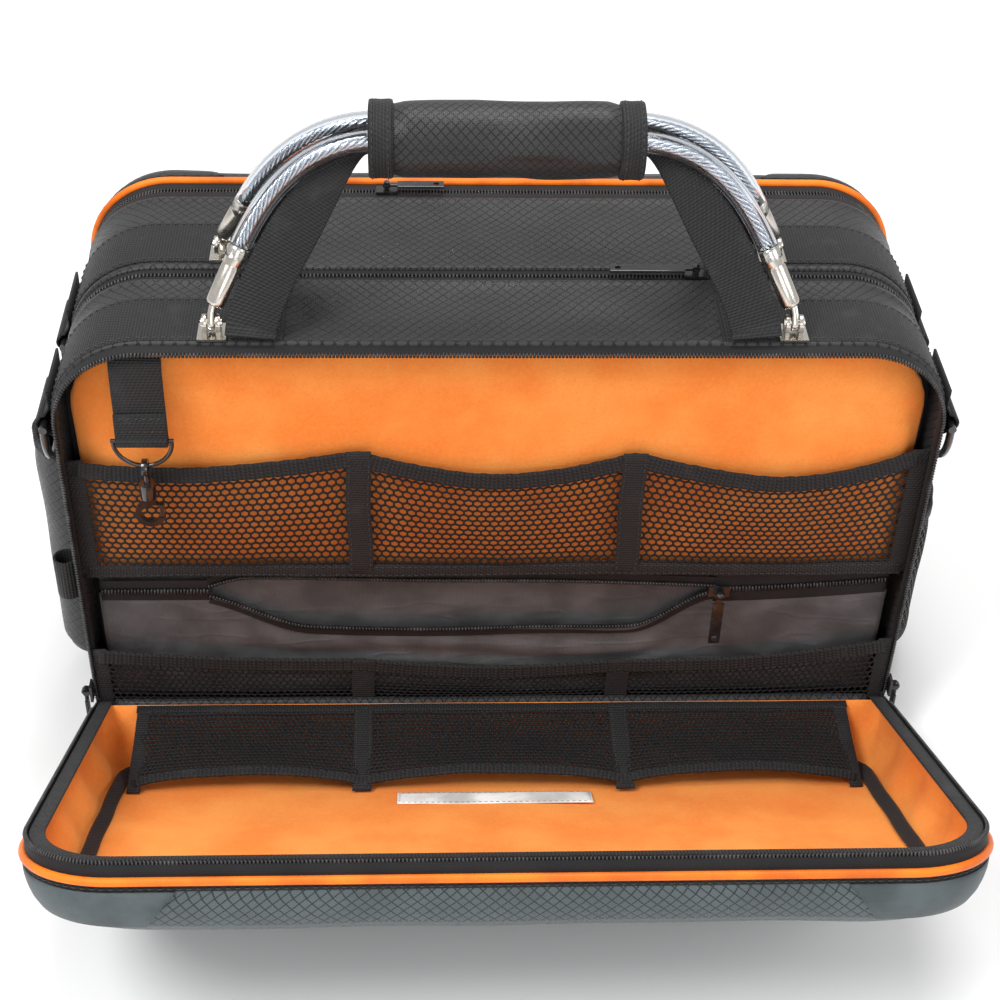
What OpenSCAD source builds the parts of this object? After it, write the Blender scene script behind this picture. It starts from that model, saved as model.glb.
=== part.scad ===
// Soft-sided flight bag with two clamshell doors, cable handles and net pockets.
// X runs across the bag, Y from front to back, Z up.
// The origin is at the middle of the underside. The front door is drawn open.

/* [Body] */
// Width of the bag across the rims
bag_width = 430; // [400:5:460]
// Distance between the front and rear rims
body_depth = 150; // [140:2:170]
// Height of the door openings above the hinge line
door_height = 226; // [215:1:240]
// Height of the hinge line above the underside
hinge_height = 28; // [26:1:30]
// Outer radius of the two top corners
corner_radius = 44; // [36:1:50]
// Thickness of the gusset fabric with its foam
gusset_thickness = 2.4; // [2:0.2:3.2]
// Thickness of the padded dividers
divider_thickness = 8; // [5:0.5:10]

/* [Doors] */
// Angle of the open front door above the level
open_angle = 28; // [28:1:45]
// Depth of each door at its fullest point
belly_depth = 60; // [50:1:62]
// Depth of the lined tray inside each door
tray_depth = 37; // [30:1:38]
// Thickness of the outer door fabric
shell_thickness = 2.4; // [1.6:0.2:3]
// Diameter of the piping cord around each door
piping_diameter = 4; // [3:0.5:5]

/* [Handles] */
// Half the distance between a handle's two pivots
pivot_x = 137; // [130:1:145]
// Length from a handle's pivot line to the middle of the grip
handle_reach = 84.6; // [80:0.2:95]
// Width of the handle webbing at its base
strap_width = 24; // [20:1:26]
// Outer diameter of the clear sleeve on each cable
sleeve_diameter = 8; // [7:0.5:8.5]
// Outer diameter of the grip
grip_diameter = 34; // [32:1:38]
// Length of the grip
grip_length = 126; // [110:2:140]

/* [Pockets] */
// Height of the upper net pockets' edge above the underside
upper_edge_z = 188; // [180:1:195]
// Height of the lower net pockets' edge above the underside
lower_edge_z = 56; // [50:1:60]
// Width of the elastic edges
elastic_width = 9; // [7:1:11]

/* [Hidden] */

$fn = 32;
arc_steps = 9;
half_width = bag_width / 2;
front_y = -body_depth / 2;
rear_y = body_depth / 2;
top_z = hinge_height + door_height;
top_half = half_width - corner_radius;
corner_length = corner_radius * PI / 2;
base_thickness = 3;
lip_top = 20;
mate_gap = 0.25;
coil_width = 1.8;
coil_height = 2.2;
tape_thickness = 1.2;
tape_edge = 9;
zip_depth = 10;

// Zip in the middle of the top
main_zip_y = -7;
main_tape = 6;
main_coil = 3;
main_zip_low = 110;

// Webbing on the gussets
webbing_thickness = 1.5;
band_width = 37;
front_band_y = -66;
rear_band_y = 3;
band_inner_x = 105;
band_low_z = 208;
tab_z = 206;
tab_ring = 3.1;
tab_x = half_width + webbing_thickness + tab_ring + 1.2;

// Layers on the front of the front divider
divider_y = front_y + 19;
lining_y = divider_y - 1.2;
panel_y = divider_y - 7.5;
panel_top = 94;
upper_net_y = divider_y - 9;
upper_net_low = 116;
lower_net_y = front_y + 2;
wall_half = half_width - gusset_thickness - 0.2;
net_half = half_width - 8;
divider_xs = [-70, 66];
pocket_zip_x = [-150, 117, 205];

// Handles
pivot_z = top_z + 8;
front_pivot_y = front_y + 15;
rear_pivot_y = 9;
grip_y = (front_pivot_y + rear_pivot_y) / 2;
lean = asin((grip_y - front_pivot_y) / handle_reach);
pin_radius = 2;
pin_clearance = 0.05;
tang_thickness = 3;
strap_thickness = 2.5;
strap_side = 4;
cable_side = 9.9;
strap_base_x = 117;
slot_angle = 62;

// ---------- shared geometry ----------

// Point on the arched outline at distance s from the top middle, offset outward by o
function arch_point(s, o) =
    let (a = abs(s), side = s < 0 ? -1 : 1, turn = (a - top_half) / corner_radius * 180 / PI)
    a <= top_half ? [s, top_z + o] :
    a <= top_half + corner_length ?
        [side * (top_half + (corner_radius + o) * sin(turn)),
         top_z - corner_radius + (corner_radius + o) * cos(turn)] :
        [side * (half_width + o), top_z - corner_radius - (a - top_half - corner_length)];

// Distance along the outline of a point on the straight side at height z
function side_s(z) = top_half + corner_length + top_z - corner_radius - z;

// Distances from s0 to s1 with every step of the two corners between them
function arch_steps(s0, s1) =
    let (marks = concat(
        [for (i = [0:arc_steps]) -top_half - corner_length + corner_length * i / arc_steps],
        [for (i = [0:arc_steps]) top_half + corner_length * i / arc_steps]))
    concat([s0], [for (m = marks) if (m > s0 + 0.01 && m < s1 - 0.01) m], [s1]);

// Filled outline down to a level, offset inward by inset
module arch_area(inset, z_low) {
    s1 = side_s(z_low);
    polygon([for (s = arch_steps(-s1, s1)) arch_point(s, -inset)]);
}

// Extrudes a shape drawn in X and Z along Y from y0 to y1
module along_y(y0, y1) {
    translate([0, y1, 0])
        rotate([90, 0, 0])
            linear_extrude(height = y1 - y0)
                children();
}

// A strip that follows the outline from s0 to s1, between offsets o0 and o1
module strip(s0, s1, o0, o1, y0, y1) {
    steps = arch_steps(s0, s1);
    count = len(steps) - 1;
    along_y(y0, y1)
        polygon(concat(
            [for (i = [0:count]) arch_point(steps[i], o1)],
            [for (i = [0:count]) arch_point(steps[count - i], o0)]));
}

// A box between two corners
module block(low, high) {
    translate(low)
        cube(high - low);
}

// Copies the children to the left and right
module both_sides() {
    children();
    mirror([1, 0, 0])
        children();
}

// Unit vector and cross product helpers for the swept tubes
function unit(v) = v / norm(v);
function path_dir(p, i) = unit(p[min(i + 1, len(p) - 1)] - p[max(i - 1, 0)]);
function ring_at(p, i, r, n) =
    let (d = path_dir(p, i), side = unit(cross(d, [0, 1, 0])), up = cross(side, d))
    [for (k = [0:n - 1]) p[i] + r * (cos(360 * k / n) * side + sin(360 * k / n) * up)];

// Solid rod along a path
module rod(path, r, n) {
    count = len(path);
    points = [for (i = [0:count - 1]) each ring_at(path, i, r, n)];
    sides = [for (i = [0:count - 2], k = [0:n - 1])
        [i * n + k, i * n + (k + 1) % n, (i + 1) * n + (k + 1) % n, (i + 1) * n + k]];
    first = [for (k = [0:n - 1]) n - 1 - k];
    last = [for (k = [0:n - 1]) (count - 1) * n + k];
    polyhedron(points, concat(sides, [first, last]), convexity = 4);
}

// Tube along a path, open at both ends
module tube(path, r_out, r_in, n) {
    count = len(path);
    points = [for (i = [0:count - 1])
        each concat(ring_at(path, i, r_out, n), ring_at(path, i, r_in, n))];
    m = 2 * n;
    outside = [for (i = [0:count - 2], k = [0:n - 1])
        [i * m + k, i * m + (k + 1) % n, (i + 1) * m + (k + 1) % n, (i + 1) * m + k]];
    inside = [for (i = [0:count - 2], k = [0:n - 1])
        [i * m + n + k, (i + 1) * m + n + k, (i + 1) * m + n + (k + 1) % n, i * m + n + (k + 1) % n]];
    first = [for (k = [0:n - 1]) [k, n + k, n + (k + 1) % n, (k + 1) % n]];
    z = (count - 1) * m;
    last = [for (k = [0:n - 1]) [z + k, z + (k + 1) % n, z + n + (k + 1) % n, z + n + k]];
    polyhedron(points, concat(outside, inside, first, last), convexity = 6);
}

// Point on a cubic curve through four control points
function curve_point(c, t) =
    pow(1 - t, 3) * c[0] + 3 * t * pow(1 - t, 2) * c[1] + 3 * t * t * (1 - t) * c[2] + pow(t, 3) * c[3];

// ---------- body ----------

module base_panel() {
    color("#2f2f31") {
        block([-half_width, front_y, 0], [half_width, rear_y, base_thickness]);
        for (y = [front_y, rear_y - gusset_thickness])
            block([-half_width, y, base_thickness - 0.1], [half_width, y + gusset_thickness, lip_top]);
        both_sides() {
            block([half_width - gusset_thickness, front_y, base_thickness - 0.1],
                  [half_width, front_y + tape_edge, hinge_height]);
            block([half_width - gusset_thickness, rear_y - tape_edge, base_thickness - 0.1],
                  [half_width, rear_y, hinge_height]);
        }
    }
}

module base_board() {
    color("#3a3a3c")
        block([-half_width + 8, divider_y + divider_thickness + 6, base_thickness],
              [half_width - 8, rear_y - 28, base_thickness + 3]);
}

// One gusset: y0 to y1 all the way, and on to y2 below the main zip
module gusset(y0, y1, y2) {
    full = side_s(base_thickness);
    low = side_s(main_zip_low);
    strip(-full, full, -gusset_thickness, 0, y0, y1);
    both_sides()
        strip(low, full, -gusset_thickness, 0, min(y0, y2), max(y1, y2));
}

module front_gusset() {
    color("#2f2f31")
        gusset(front_y + tape_edge, main_zip_y - main_tape, main_zip_y - 0.2);
}

module rear_gusset() {
    color("#2f2f31")
        gusset(main_zip_y + main_tape, rear_y - tape_edge, main_zip_y + 0.2);
}

// Tape and coil of one rim zip, standing inward from the plane y by the direction dir
module rim_tape(y, dir) {
    s1 = side_s(hinge_height + 0.4);
    far = y + dir * tape_edge;
    near = y + dir * coil_width;
    strip(-s1, s1, -tape_thickness, 0, min(near, far), max(near, far));
}

module rim_coil(y, dir) {
    s1 = side_s(hinge_height + 0.4);
    far = y + dir * coil_width;
    strip(-s1, s1, -coil_height, 0, min(y, far), max(y, far));
}

module body_zip_tapes() {
    low = side_s(main_zip_low);
    color("#1f1f20") {
        rim_tape(front_y, 1);
        rim_tape(rear_y, -1);
        strip(-low, low, -tape_thickness, 0, main_zip_y - main_tape, main_zip_y - main_coil / 2);
        strip(-low, low, -tape_thickness, 0, main_zip_y + main_coil / 2, main_zip_y + main_tape);
        block([pocket_zip_x[0], divider_y - 2.6, 100], [pocket_zip_x[2], divider_y - 1.4, 110]);
        block([pocket_zip_x[0], panel_y - 2.2, panel_top - 7], [pocket_zip_x[2], panel_y - 1, panel_top]);
    }
}

module body_zip_coils() {
    low = side_s(main_zip_low);
    closed = pocket_zip_x[1];
    color("#161617") {
        rim_coil(front_y, 1);
        rim_coil(rear_y, -1);
        strip(-low, low, -coil_height, 0, main_zip_y - main_coil / 2, main_zip_y + main_coil / 2);
        block([pocket_zip_x[0], divider_y - 3.2, 98.4], [closed, divider_y - 1.4, 100]);
        block([pocket_zip_x[0], panel_y - 2.4, panel_top], [closed, panel_y - 0.6, panel_top + 1.6]);
        block([closed + 0.2, panel_y - 1, panel_top], [pocket_zip_x[2], divider_y - 2, 100]);
    }
}

module front_divider() {
    color("#333335")
        along_y(divider_y, divider_y + divider_thickness)
            arch_area(gusset_thickness + 0.2, base_thickness);
}

module rear_divider() {
    color("#333335")
        along_y(rear_y - 25, rear_y - 25 + divider_thickness)
            arch_area(gusset_thickness + 0.2, base_thickness);
}

module upper_lining() {
    color("#f58a33")
        along_y(lining_y, divider_y)
            arch_area(gusset_thickness + 0.4, 98);
}

// Nylon panel that makes the pouch behind the pocket zip
module pouch_panel() {
    color("#4a4a4d") {
        block([-net_half, panel_y - 1, lip_top + 1], [net_half, panel_y, panel_top]);
        for (x = [-net_half, net_half - 1])
            block([x, panel_y - 0.1, lip_top + 1], [x + 1, divider_y, panel_top]);
        block([-net_half, panel_y - 0.1, lip_top + 1], [net_half, divider_y, lip_top + 2]);
    }
}

module net_pockets() {
    color("#1b1b1c") {
        block([-net_half, upper_net_y - 1, upper_net_low], [net_half, upper_net_y, upper_edge_z - elastic_width]);
        block([-net_half, lower_net_y - 1, lip_top + 2], [net_half, lower_net_y, lower_edge_z - elastic_width]);
    }
}

// Elastic edges of the net pockets and of the bottle pocket
module net_bindings() {
    color("#242425") {
        block([-net_half, upper_net_y - 2, upper_edge_z - elastic_width], [net_half, upper_net_y, upper_edge_z]);
        block([-net_half, lower_net_y - 2, lower_edge_z - elastic_width], [net_half, lower_net_y, lower_edge_z]);
        bottle_ring(bottle_top - 8, bottle_top, 0.2, 2);
    }
}

// Webbing that divides the net pockets and closes their ends and bottoms
module net_tapes() {
    color("#1f1f20") {
        for (x = [-net_half - 4, net_half])
            block([x, upper_net_y - 2, upper_net_low - 6], [x + 4, lining_y - 0.1, upper_edge_z]);
        for (x = divider_xs)
            block([x - 2, upper_net_y, upper_net_low - 6], [x + 2, lining_y - 0.1, upper_edge_z]);
        block([-net_half, upper_net_y - 2, upper_net_low - 6], [net_half, lining_y - 0.1, upper_net_low]);
        for (x = [-net_half - 4, net_half])
            block([x, lower_net_y - 2, lip_top + 0.5], [x + 4, panel_y - 1.1, lower_edge_z]);
        for (x = divider_xs)
            block([x - 2, lower_net_y, lip_top + 0.5], [x + 2, panel_y - 1.1, lower_edge_z]);
        block([-net_half, lower_net_y - 2, lip_top + 0.5], [net_half, panel_y - 1.1, lip_top + 2]);
    }
}

module webbing_bands() {
    color("#262627")
        for (y = [front_band_y, rear_band_y])
            both_sides()
                strip(band_inner_x, side_s(band_low_z), 0, webbing_thickness, y, y + band_width);
}

// Loop of webbing around the bar of one ring
module tab(y) {
    translate([tab_x, y, tab_z])
        rotate([-90, 0, 0])
            difference() {
                cylinder(r = tab_ring + webbing_thickness, h = band_width);
                translate([0, 0, -1])
                    cylinder(r = tab_ring, h = band_width + 2);
            }
}

// Four ring tabs, and the keeper loop beside the tall side pocket
module webbing_tabs() {
    color("#262627") {
        for (y = [front_band_y, rear_band_y])
            both_sides()
                tab(y);
        translate([-half_width - 6.4, -64, 96])
            difference() {
                cylinder(r = 6.4, h = 25);
                translate([0, 0, -1])
                    cylinder(r = 5, h = 27);
            }
    }
}

// Small forked plate that holds one cable end
module anchor(x, y) {
    translate([x, y, top_z + webbing_thickness]) {
        block([-6.8, -7, 0], [6.8, 7, 1.4]);
        for (ear = [-4.2, 2.2])
            difference() {
                union() {
                    block([ear, -4, 1], [ear + 2, 4, pivot_z - top_z - webbing_thickness]);
                    translate([ear, 0, pivot_z - top_z - webbing_thickness])
                        rotate([0, 90, 0])
                            cylinder(r = 4, h = 2);
                }
                translate([ear - 1, 0, pivot_z - top_z - webbing_thickness])
                    rotate([0, 90, 0])
                        cylinder(r = pin_radius, h = 4);
            }
        translate([-5, 0, pivot_z - top_z - webbing_thickness])
            rotate([0, 90, 0])
                cylinder(r = pin_radius, h = 10);
    }
}

module handle_anchors() {
    color("#b9b4aa")
        for (y = [front_pivot_y, rear_pivot_y])
            both_sides()
                anchor(pivot_x, y);
}

// ---------- side pockets ----------

sleeve_low = 32;
sleeve_top = 172;
sleeve_y = -18;
sleeve_span = 50;
sleeve_out = 24;
bottle_low = 32;
bottle_top = 122;
bottle_y = 4;
bottle_span = 92;
bottle_out = 26;

// Outline of a side pocket seen from above, standing out by out over the span
function bulge(span, out, r) =
    [for (i = [0:12]) let (a = 180 * i / 12) [(out - r) * sin(a), -(span / 2 - r) * cos(a)]];

module tester_sleeve() {
    color("#2a2a2b")
        translate([-half_width - 0.05, sleeve_y, sleeve_low])
            mirror([1, 0, 0])
                difference() {
                    linear_extrude(height = sleeve_top - sleeve_low)
                        polygon(bulge(sleeve_span, sleeve_out, 0));
                    translate([-1, 0, 1.6])
                        linear_extrude(height = sleeve_top)
                            polygon(bulge(sleeve_span, sleeve_out, 1.6));
                    translate([8, 0, -1])
                        cylinder(r = 3, h = 4);
                }
}

// Wall of the bottle pocket between two heights, from the offset r0 in to r1
module bottle_ring(z0, z1, r0, r1) {
    translate([half_width + 0.05, bottle_y, z0])
        difference() {
            linear_extrude(height = z1 - z0)
                polygon(bulge(bottle_span, bottle_out, r0 - 1));
            translate([-1, 0, -1])
                linear_extrude(height = z1 - z0 + 2)
                    polygon(bulge(bottle_span, bottle_out, r1));
        }
}

module bottle_pocket() {
    color("#1b1b1c") {
        bottle_ring(bottle_low, bottle_top - 8.1, 1, 2.2);
        translate([half_width + 0.05, bottle_y, bottle_low - 1.4])
            linear_extrude(height = 1.5)
                polygon(bulge(bottle_span, bottle_out, 0));
    }
}

// ---------- key strap and hook ----------

key_x = -173;
key_y = front_y - 0.5;
key_back_y = front_y + 4;
key_ring_z = 204;
key_width = 25;
eye_z = 189;
hook_z = 159;
hook_radius = 7.5;

module key_strap() {
    strap_top = top_z - 3.9;
    color("#262627") {
        translate([key_x - key_width / 2, 0, 0])
            rotate([90, 0, 90])
                linear_extrude(height = key_width)
                    polygon([[key_y - 1, key_ring_z + 3], [key_y + 1, key_ring_z + 3],
                             [key_back_y + 1, strap_top], [key_back_y - 1, strap_top]]);
        translate([key_x - key_width / 2, key_y, key_ring_z])
            rotate([0, 90, 0])
                difference() {
                    cylinder(r = 3.4, h = key_width);
                    translate([0, 0, -1])
                        cylinder(r = 2, h = key_width + 2);
                }
    }
}

// Wire ring: a straight bar along X, two legs and a half circle below
module wire_d(width, leg, r) {
    translate([-width / 2 - r, 0, 0])
        rotate([0, 90, 0])
            cylinder(r = r, h = width + 2 * r);
    both_sides()
        translate([width / 2, 0, -leg])
            cylinder(r = r, h = leg);
    translate([0, 0, -leg])
        rotate([-90, 0, 0])
            rotate_extrude(angle = 180)
                translate([width / 2, 0])
                    circle(r = r);
}

module key_d_ring() {
    color("#9a958c")
        translate([key_x, key_y, key_ring_z])
            wire_d(28, 1, 1.1);
}

module hook_eye() {
    color("#1c1c1d")
        translate([key_x, key_y, eye_z - 1.2]) {
            rotate([0, 90, 0])
                translate([0, 0, -1.4])
                    difference() {
                        cylinder(r = 4.4, h = 2.8);
                        translate([0, 0, -1])
                            cylinder(r = 2.4, h = 5);
                    }
            translate([0, 0, -12])
                cylinder(r = 1.5, h = 9);
            translate([0, 0, -13.4])
                cylinder(r = 2.6, h = 1.6);
        }
}

// Hook with a swivel collar at its top and a gate on one side
module snap_hook() {
    color("#1c1c1d")
        translate([key_x, key_y, 0]) {
            difference() {
                translate([0, 0, hook_z + 10.5])
                    cylinder(r = 4, h = 8.5);
                translate([0, 0, eye_z - 15.2])
                    cylinder(r = 3, h = 3);
                translate([0, 0, eye_z - 14])
                    cylinder(r = 1.7, h = 8);
            }
            translate([0, 1.6, hook_z])
                rotate([90, 0, 0])
                    linear_extrude(height = 3.2)
                        difference() {
                            union() {
                                circle(r = hook_radius);
                                translate([-3.5, 5.5])
                                    square([7, 6]);
                            }
                            circle(r = hook_radius - 2.7);
                            translate([1.2, -2])
                                square([12, 8]);
                        }
        }
}

module hook_gate() {
    color("#2b2b2c")
        translate([key_x + hook_radius - 1.6, key_y, hook_z])
            block([-1.1, -1.3, -1.8], [1.1, 1.3, 5.8]);
}

// ---------- doors ----------

// Rounded door outline at one depth: inset from the sides, between two heights
module door_slab(inset, low, high, r, d0, d1) {
    x = half_width - inset;
    along_y(-d1, -d0)
        polygon(concat(
            [[x, low], [-x, low]],
            [for (i = [0:6]) let (a = 180 - 15 * i) [-x + r + r * cos(a), high - r + r * sin(a)]],
            [for (i = [0:6]) let (a = 90 - 15 * i) [x - r + r * cos(a), high - r + r * sin(a)]]));
}

// Outer form of a door, closed, inset all round by t; Y runs out of the bag, Z up from the hinge
module door_form(t) {
    hull() {
        door_slab(t, 1 + t, door_height - t, corner_radius - t, zip_depth - 1, 18 - t);
        door_slab(3 + t, 7 + t, door_height - 8 - t, corner_radius, 32 - t, 34 - t);
        door_slab(7 + t, 16.5 + t, door_height - 20 - t, corner_radius, 39 - t, 40 - t);
        door_slab(14 + t, 38 + t, door_height - 42, corner_radius, 49 - t, belly_depth - 10 - t);
        door_slab(42, 58 + t, 120, 30, belly_depth - 1 - t, belly_depth - t);
    }
}

module door_shell() {
    difference() {
        door_form(0);
        door_form(shell_thickness);
        door_slab(shell_thickness, 3, door_height - shell_thickness, corner_radius - shell_thickness, 0, 12);
    }
}

// Lined tray inside a door
module door_lining() {
    difference() {
        hull() {
            door_slab(3.6, 5, door_height - 3.6, corner_radius - 3.6, 3, 14);
            door_slab(14, 18.8, door_height - 30, corner_radius, tray_depth - 4, tray_depth);
        }
        hull() {
            door_slab(4.8, 6.2, door_height - 4.8, corner_radius - 4.8, 2, 14);
            door_slab(15.2, 20, door_height - 31.2, corner_radius - 1, tray_depth - 5, tray_depth - 1.2);
        }
    }
}

// Ring around a door's rim between two depths, from the offset o0 to o1
module door_rim(o0, o1, d0, d1) {
    s1 = side_s(hinge_height + 0.6);
    translate([0, 0, -hinge_height])
        strip(-s1, s1, o0, o1, -d1, -d0);
}

module door_piping() {
    door_rim(0, piping_diameter / 2, zip_depth - 3.2, zip_depth + 0.8);
}

module door_tape() {
    door_rim(-tape_thickness, 0, mate_gap + coil_width, zip_depth - 3.4);
}

module door_coil() {
    door_rim(-coil_height, 0, mate_gap, mate_gap + coil_width);
}

// Net pockets across the hinge end of a door's tray: a sloping panel from the wall to its mouth
door_net_low = 7.4;
door_net_high = 52;
door_net_top = 5;
door_net_mouth = 28;
door_net_half = 188;
door_floor = tray_depth - 1.2;
function net_depth(s) =
    door_net_top + (s - door_net_low) * (door_net_mouth - door_net_top) / (door_net_high - door_net_low);

// Extrudes a profile along X; each point is the depth into the door and the height from the hinge
module door_profile(points, x0, x1) {
    translate([x0, 0, 0])
        rotate([90, 0, 90])
            linear_extrude(height = x1 - x0)
                polygon([for (p = points) [-p[0], p[1]]]);
}

module door_net() {
    panel = [[net_depth(door_net_low), door_net_low], [net_depth(door_net_high), door_net_high],
        [net_depth(door_net_high) + 1, door_net_high], [net_depth(door_net_low) + 1.1, door_net_low]];
    web = [[net_depth(door_net_low) + 0.5, door_net_low], [net_depth(door_net_high) + 0.5, door_net_high],
        [door_floor - 0.3, door_net_high], [door_floor - 0.3, 21.4], [31.2, 21.4], [13, door_net_low]];
    door_profile(panel, -door_net_half, door_net_half);
    for (x = [-door_net_half, divider_xs[0] - 1, divider_xs[1] - 1, door_net_half - 2])
        door_profile(web, x, x + 2);
}

module door_net_tapes() {
    edge = door_net_high - 8;
    mouth = [[net_depth(edge) - 0.95, edge], [net_depth(door_net_high) - 0.95, door_net_high],
        [net_depth(door_net_high) - 0.05, door_net_high], [net_depth(edge) - 0.05, edge]];
    rib = [[net_depth(door_net_low) - 0.8, door_net_low], [net_depth(edge) - 0.8, edge - 0.1],
        [net_depth(edge) - 0.1, edge - 0.1], [net_depth(door_net_low) - 0.1, door_net_low]];
    door_profile(mouth, -door_net_half, door_net_half);
    for (x = divider_xs)
        door_profile(rib, x - 5, x + 5);
}

module door_label() {
    block([-52, -door_floor + 0.05, 56], [48, -door_floor + 0.55, 72]);
}

// Places a closed door's parts on the front of the bag and swings them open
module at_front_door() {
    translate([0, front_y, hinge_height])
        rotate([90 - open_angle, 0, 0])
            children();
}

// Places a closed door's parts on the back of the bag
module at_rear_door() {
    translate([0, rear_y, hinge_height])
        mirror([0, 1, 0])
            children();
}

module front_door_shell() {
    color("#4a5558")
        at_front_door()
            door_shell();
}

module front_door_piping() {
    color("#f07a1a")
        at_front_door()
            door_piping();
}

module front_door_zip_tape() {
    color("#1f1f20")
        at_front_door()
            door_tape();
}

module front_door_zip_coil() {
    color("#161617")
        at_front_door()
            door_coil();
}

module front_door_lining() {
    color("#f58a33")
        at_front_door()
            door_lining();
}

module front_door_pocket() {
    color("#1b1b1c")
        at_front_door()
            door_net();
}

module front_door_pocket_tapes() {
    color("#242425")
        at_front_door()
            door_net_tapes();
}

module front_door_label() {
    color("#e9e9e6")
        at_front_door()
            door_label();
}

module rear_door_shell() {
    color("#2f2f31")
        at_rear_door()
            door_shell();
}

module rear_door_piping() {
    color("#f07a1a")
        at_rear_door()
            door_piping();
}

module rear_door_zip_tape() {
    color("#1f1f20")
        at_rear_door()
            door_tape();
}

module rear_door_zip_coil() {
    color("#161617")
        at_rear_door()
            door_coil();
}

module rear_door_lining() {
    color("#f58a33")
        at_rear_door()
            door_lining();
}

// ---------- handles ----------

// Cable path in a handle's own plane: X across, Z up the handle, Y out of its face
ferrule_low = [pivot_x - 1.5, 0, 8];
ferrule_high = [122, -1.4, 37];
cable_steps = 14;
cable_bend = [ferrule_high, [110, -4, 62], [90, -cable_side, handle_reach],
    [grip_length / 2 - 4, -cable_side, handle_reach]];
cable_half = [for (i = [0:cable_steps]) curve_point(cable_bend, i / cable_steps)];
cable_left = [for (i = [0:cable_steps]) let (p = cable_half[i]) [-p[0], p[1], p[2]]];
cable_path = concat(cable_left, [for (i = [0:cable_steps]) cable_half[cable_steps - i]]);

// Side of the strap that faces the grip, and the side that faces the bag
strap_narrow = 12;
strap_outline = [
    [strap_base_x + strap_width / 2, 0], [strap_base_x - strap_width / 2, 0],
    [grip_length / 2 + 0.5, handle_reach - strap_narrow / 2],
    [-grip_length / 2 - 0.5, handle_reach - strap_narrow / 2],
    [-strap_base_x + strap_width / 2, 0], [-strap_base_x - strap_width / 2, 0],
    [-grip_length / 2 - 9, handle_reach + strap_narrow / 2],
    [grip_length / 2 + 9, handle_reach + strap_narrow / 2]];

module handle_strap() {
    along_y(-strap_side - strap_thickness / 2, -strap_side + strap_thickness / 2)
        polygon(strap_outline);
}

module handle_cable() {
    rod(cable_path, sleeve_diameter / 2 - 1.5, 10);
}

module handle_sleeve() {
    tube(cable_path, sleeve_diameter / 2, sleeve_diameter / 2 - 1.4, 12);
}

// Crimped ferrule with a flat drilled tang, one at each end of the cable
module handle_fittings() {
    run = ferrule_high - ferrule_low;
    both_sides() {
        translate(ferrule_low)
            rotate([0, atan2(run[0], run[2]), 0])
                rotate([atan2(-run[1], norm([run[0], run[2]])), 0, 0])
                    cylinder(r = 4.6, h = norm(run) - 0.3);
        difference() {
            union() {
                translate([pivot_x - tang_thickness / 2, 0, 0])
                    rotate([0, 90, 0])
                        cylinder(r = 4, h = tang_thickness);
                block([pivot_x - tang_thickness / 2, -3.2, 0], [pivot_x + tang_thickness / 2, 3.2, 11]);
            }
            translate([pivot_x - 4, 0, 0])
                rotate([0, 90, 0])
                    cylinder(r = pin_radius + pin_clearance, h = 8);
        }
    }
}

// Stands a handle's parts on its pivot line, leaning in over the zip
module at_front_handle() {
    translate([0, front_pivot_y, pivot_z])
        rotate([-lean, 0, 0])
            children();
}

module at_rear_handle() {
    translate([0, rear_pivot_y, pivot_z])
        mirror([0, 1, 0])
            rotate([-lean, 0, 0])
                children();
}

// Grip sleeve with a slot along its back, turned level
module grip_shell(r_out, r_in, x0, x1) {
    slot_far = 3 * r_out;
    translate([x0, grip_y, pivot_z + handle_reach * cos(lean)])
        rotate([90, 0, 90])
            difference() {
                cylinder(r = r_out, h = x1 - x0);
                translate([0, 0, -1])
                    cylinder(r = r_in, h = x1 - x0 + 2);
                translate([0, 0, -1])
                    linear_extrude(height = x1 - x0 + 2)
                        polygon([[0, 0],
                            slot_far * [cos(slot_angle), -sin(slot_angle)],
                            [slot_far, -slot_far], [slot_far, slot_far],
                            slot_far * [cos(slot_angle), sin(slot_angle)]]);
            }
}

module grip_wrap() {
    color("#2f2f31")
        grip_shell(grip_diameter / 2, grip_diameter / 2 - 2.8, -grip_length / 2 + 11, grip_length / 2 - 11);
}

module grip_bindings() {
    color("#262627")
        both_sides()
            grip_shell(grip_diameter / 2 + 1, grip_diameter / 2 - 2.8, grip_length / 2 - 10.9, grip_length / 2);
}

module front_handle_strap() {
    color("#262627")
        at_front_handle()
            handle_strap();
}

module front_handle_cable() {
    color("#8f9aa6")
        at_front_handle()
            handle_cable();
}

module front_handle_sleeve() {
    color("#dfe6ec", 0.4)
        at_front_handle()
            handle_sleeve();
}

module front_handle_fittings() {
    color("#b9b4aa")
        at_front_handle()
            handle_fittings();
}

module rear_handle_strap() {
    color("#262627")
        at_rear_handle()
            handle_strap();
}

module rear_handle_cable() {
    color("#8f9aa6")
        at_rear_handle()
            handle_cable();
}

module rear_handle_sleeve() {
    color("#dfe6ec", 0.4)
        at_rear_handle()
            handle_sleeve();
}

module rear_handle_fittings() {
    color("#b9b4aa")
        at_rear_handle()
            handle_fittings();
}

// ---------- side rings ----------

ring_wire = 2;
ring_width = 42;
ring_leg = 6;

module side_ring(side, y) {
    color("#1a1a1b")
        translate([side * tab_x, y + band_width / 2, tab_z])
            rotate([0, 0, 90])
                wire_d(ring_width, ring_leg, ring_wire);
}

module d_ring_front_left() {
    side_ring(-1, front_band_y);
}

module d_ring_front_right() {
    side_ring(1, front_band_y);
}

module d_ring_rear_left() {
    side_ring(-1, rear_band_y);
}

module d_ring_rear_right() {
    side_ring(1, rear_band_y);
}

// ---------- zip sliders ----------

// A slider lies on a zip that runs along X, facing up; its bar runs across the zip
bar_rise = 4.4;
bar_radius = 0.9;

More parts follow.
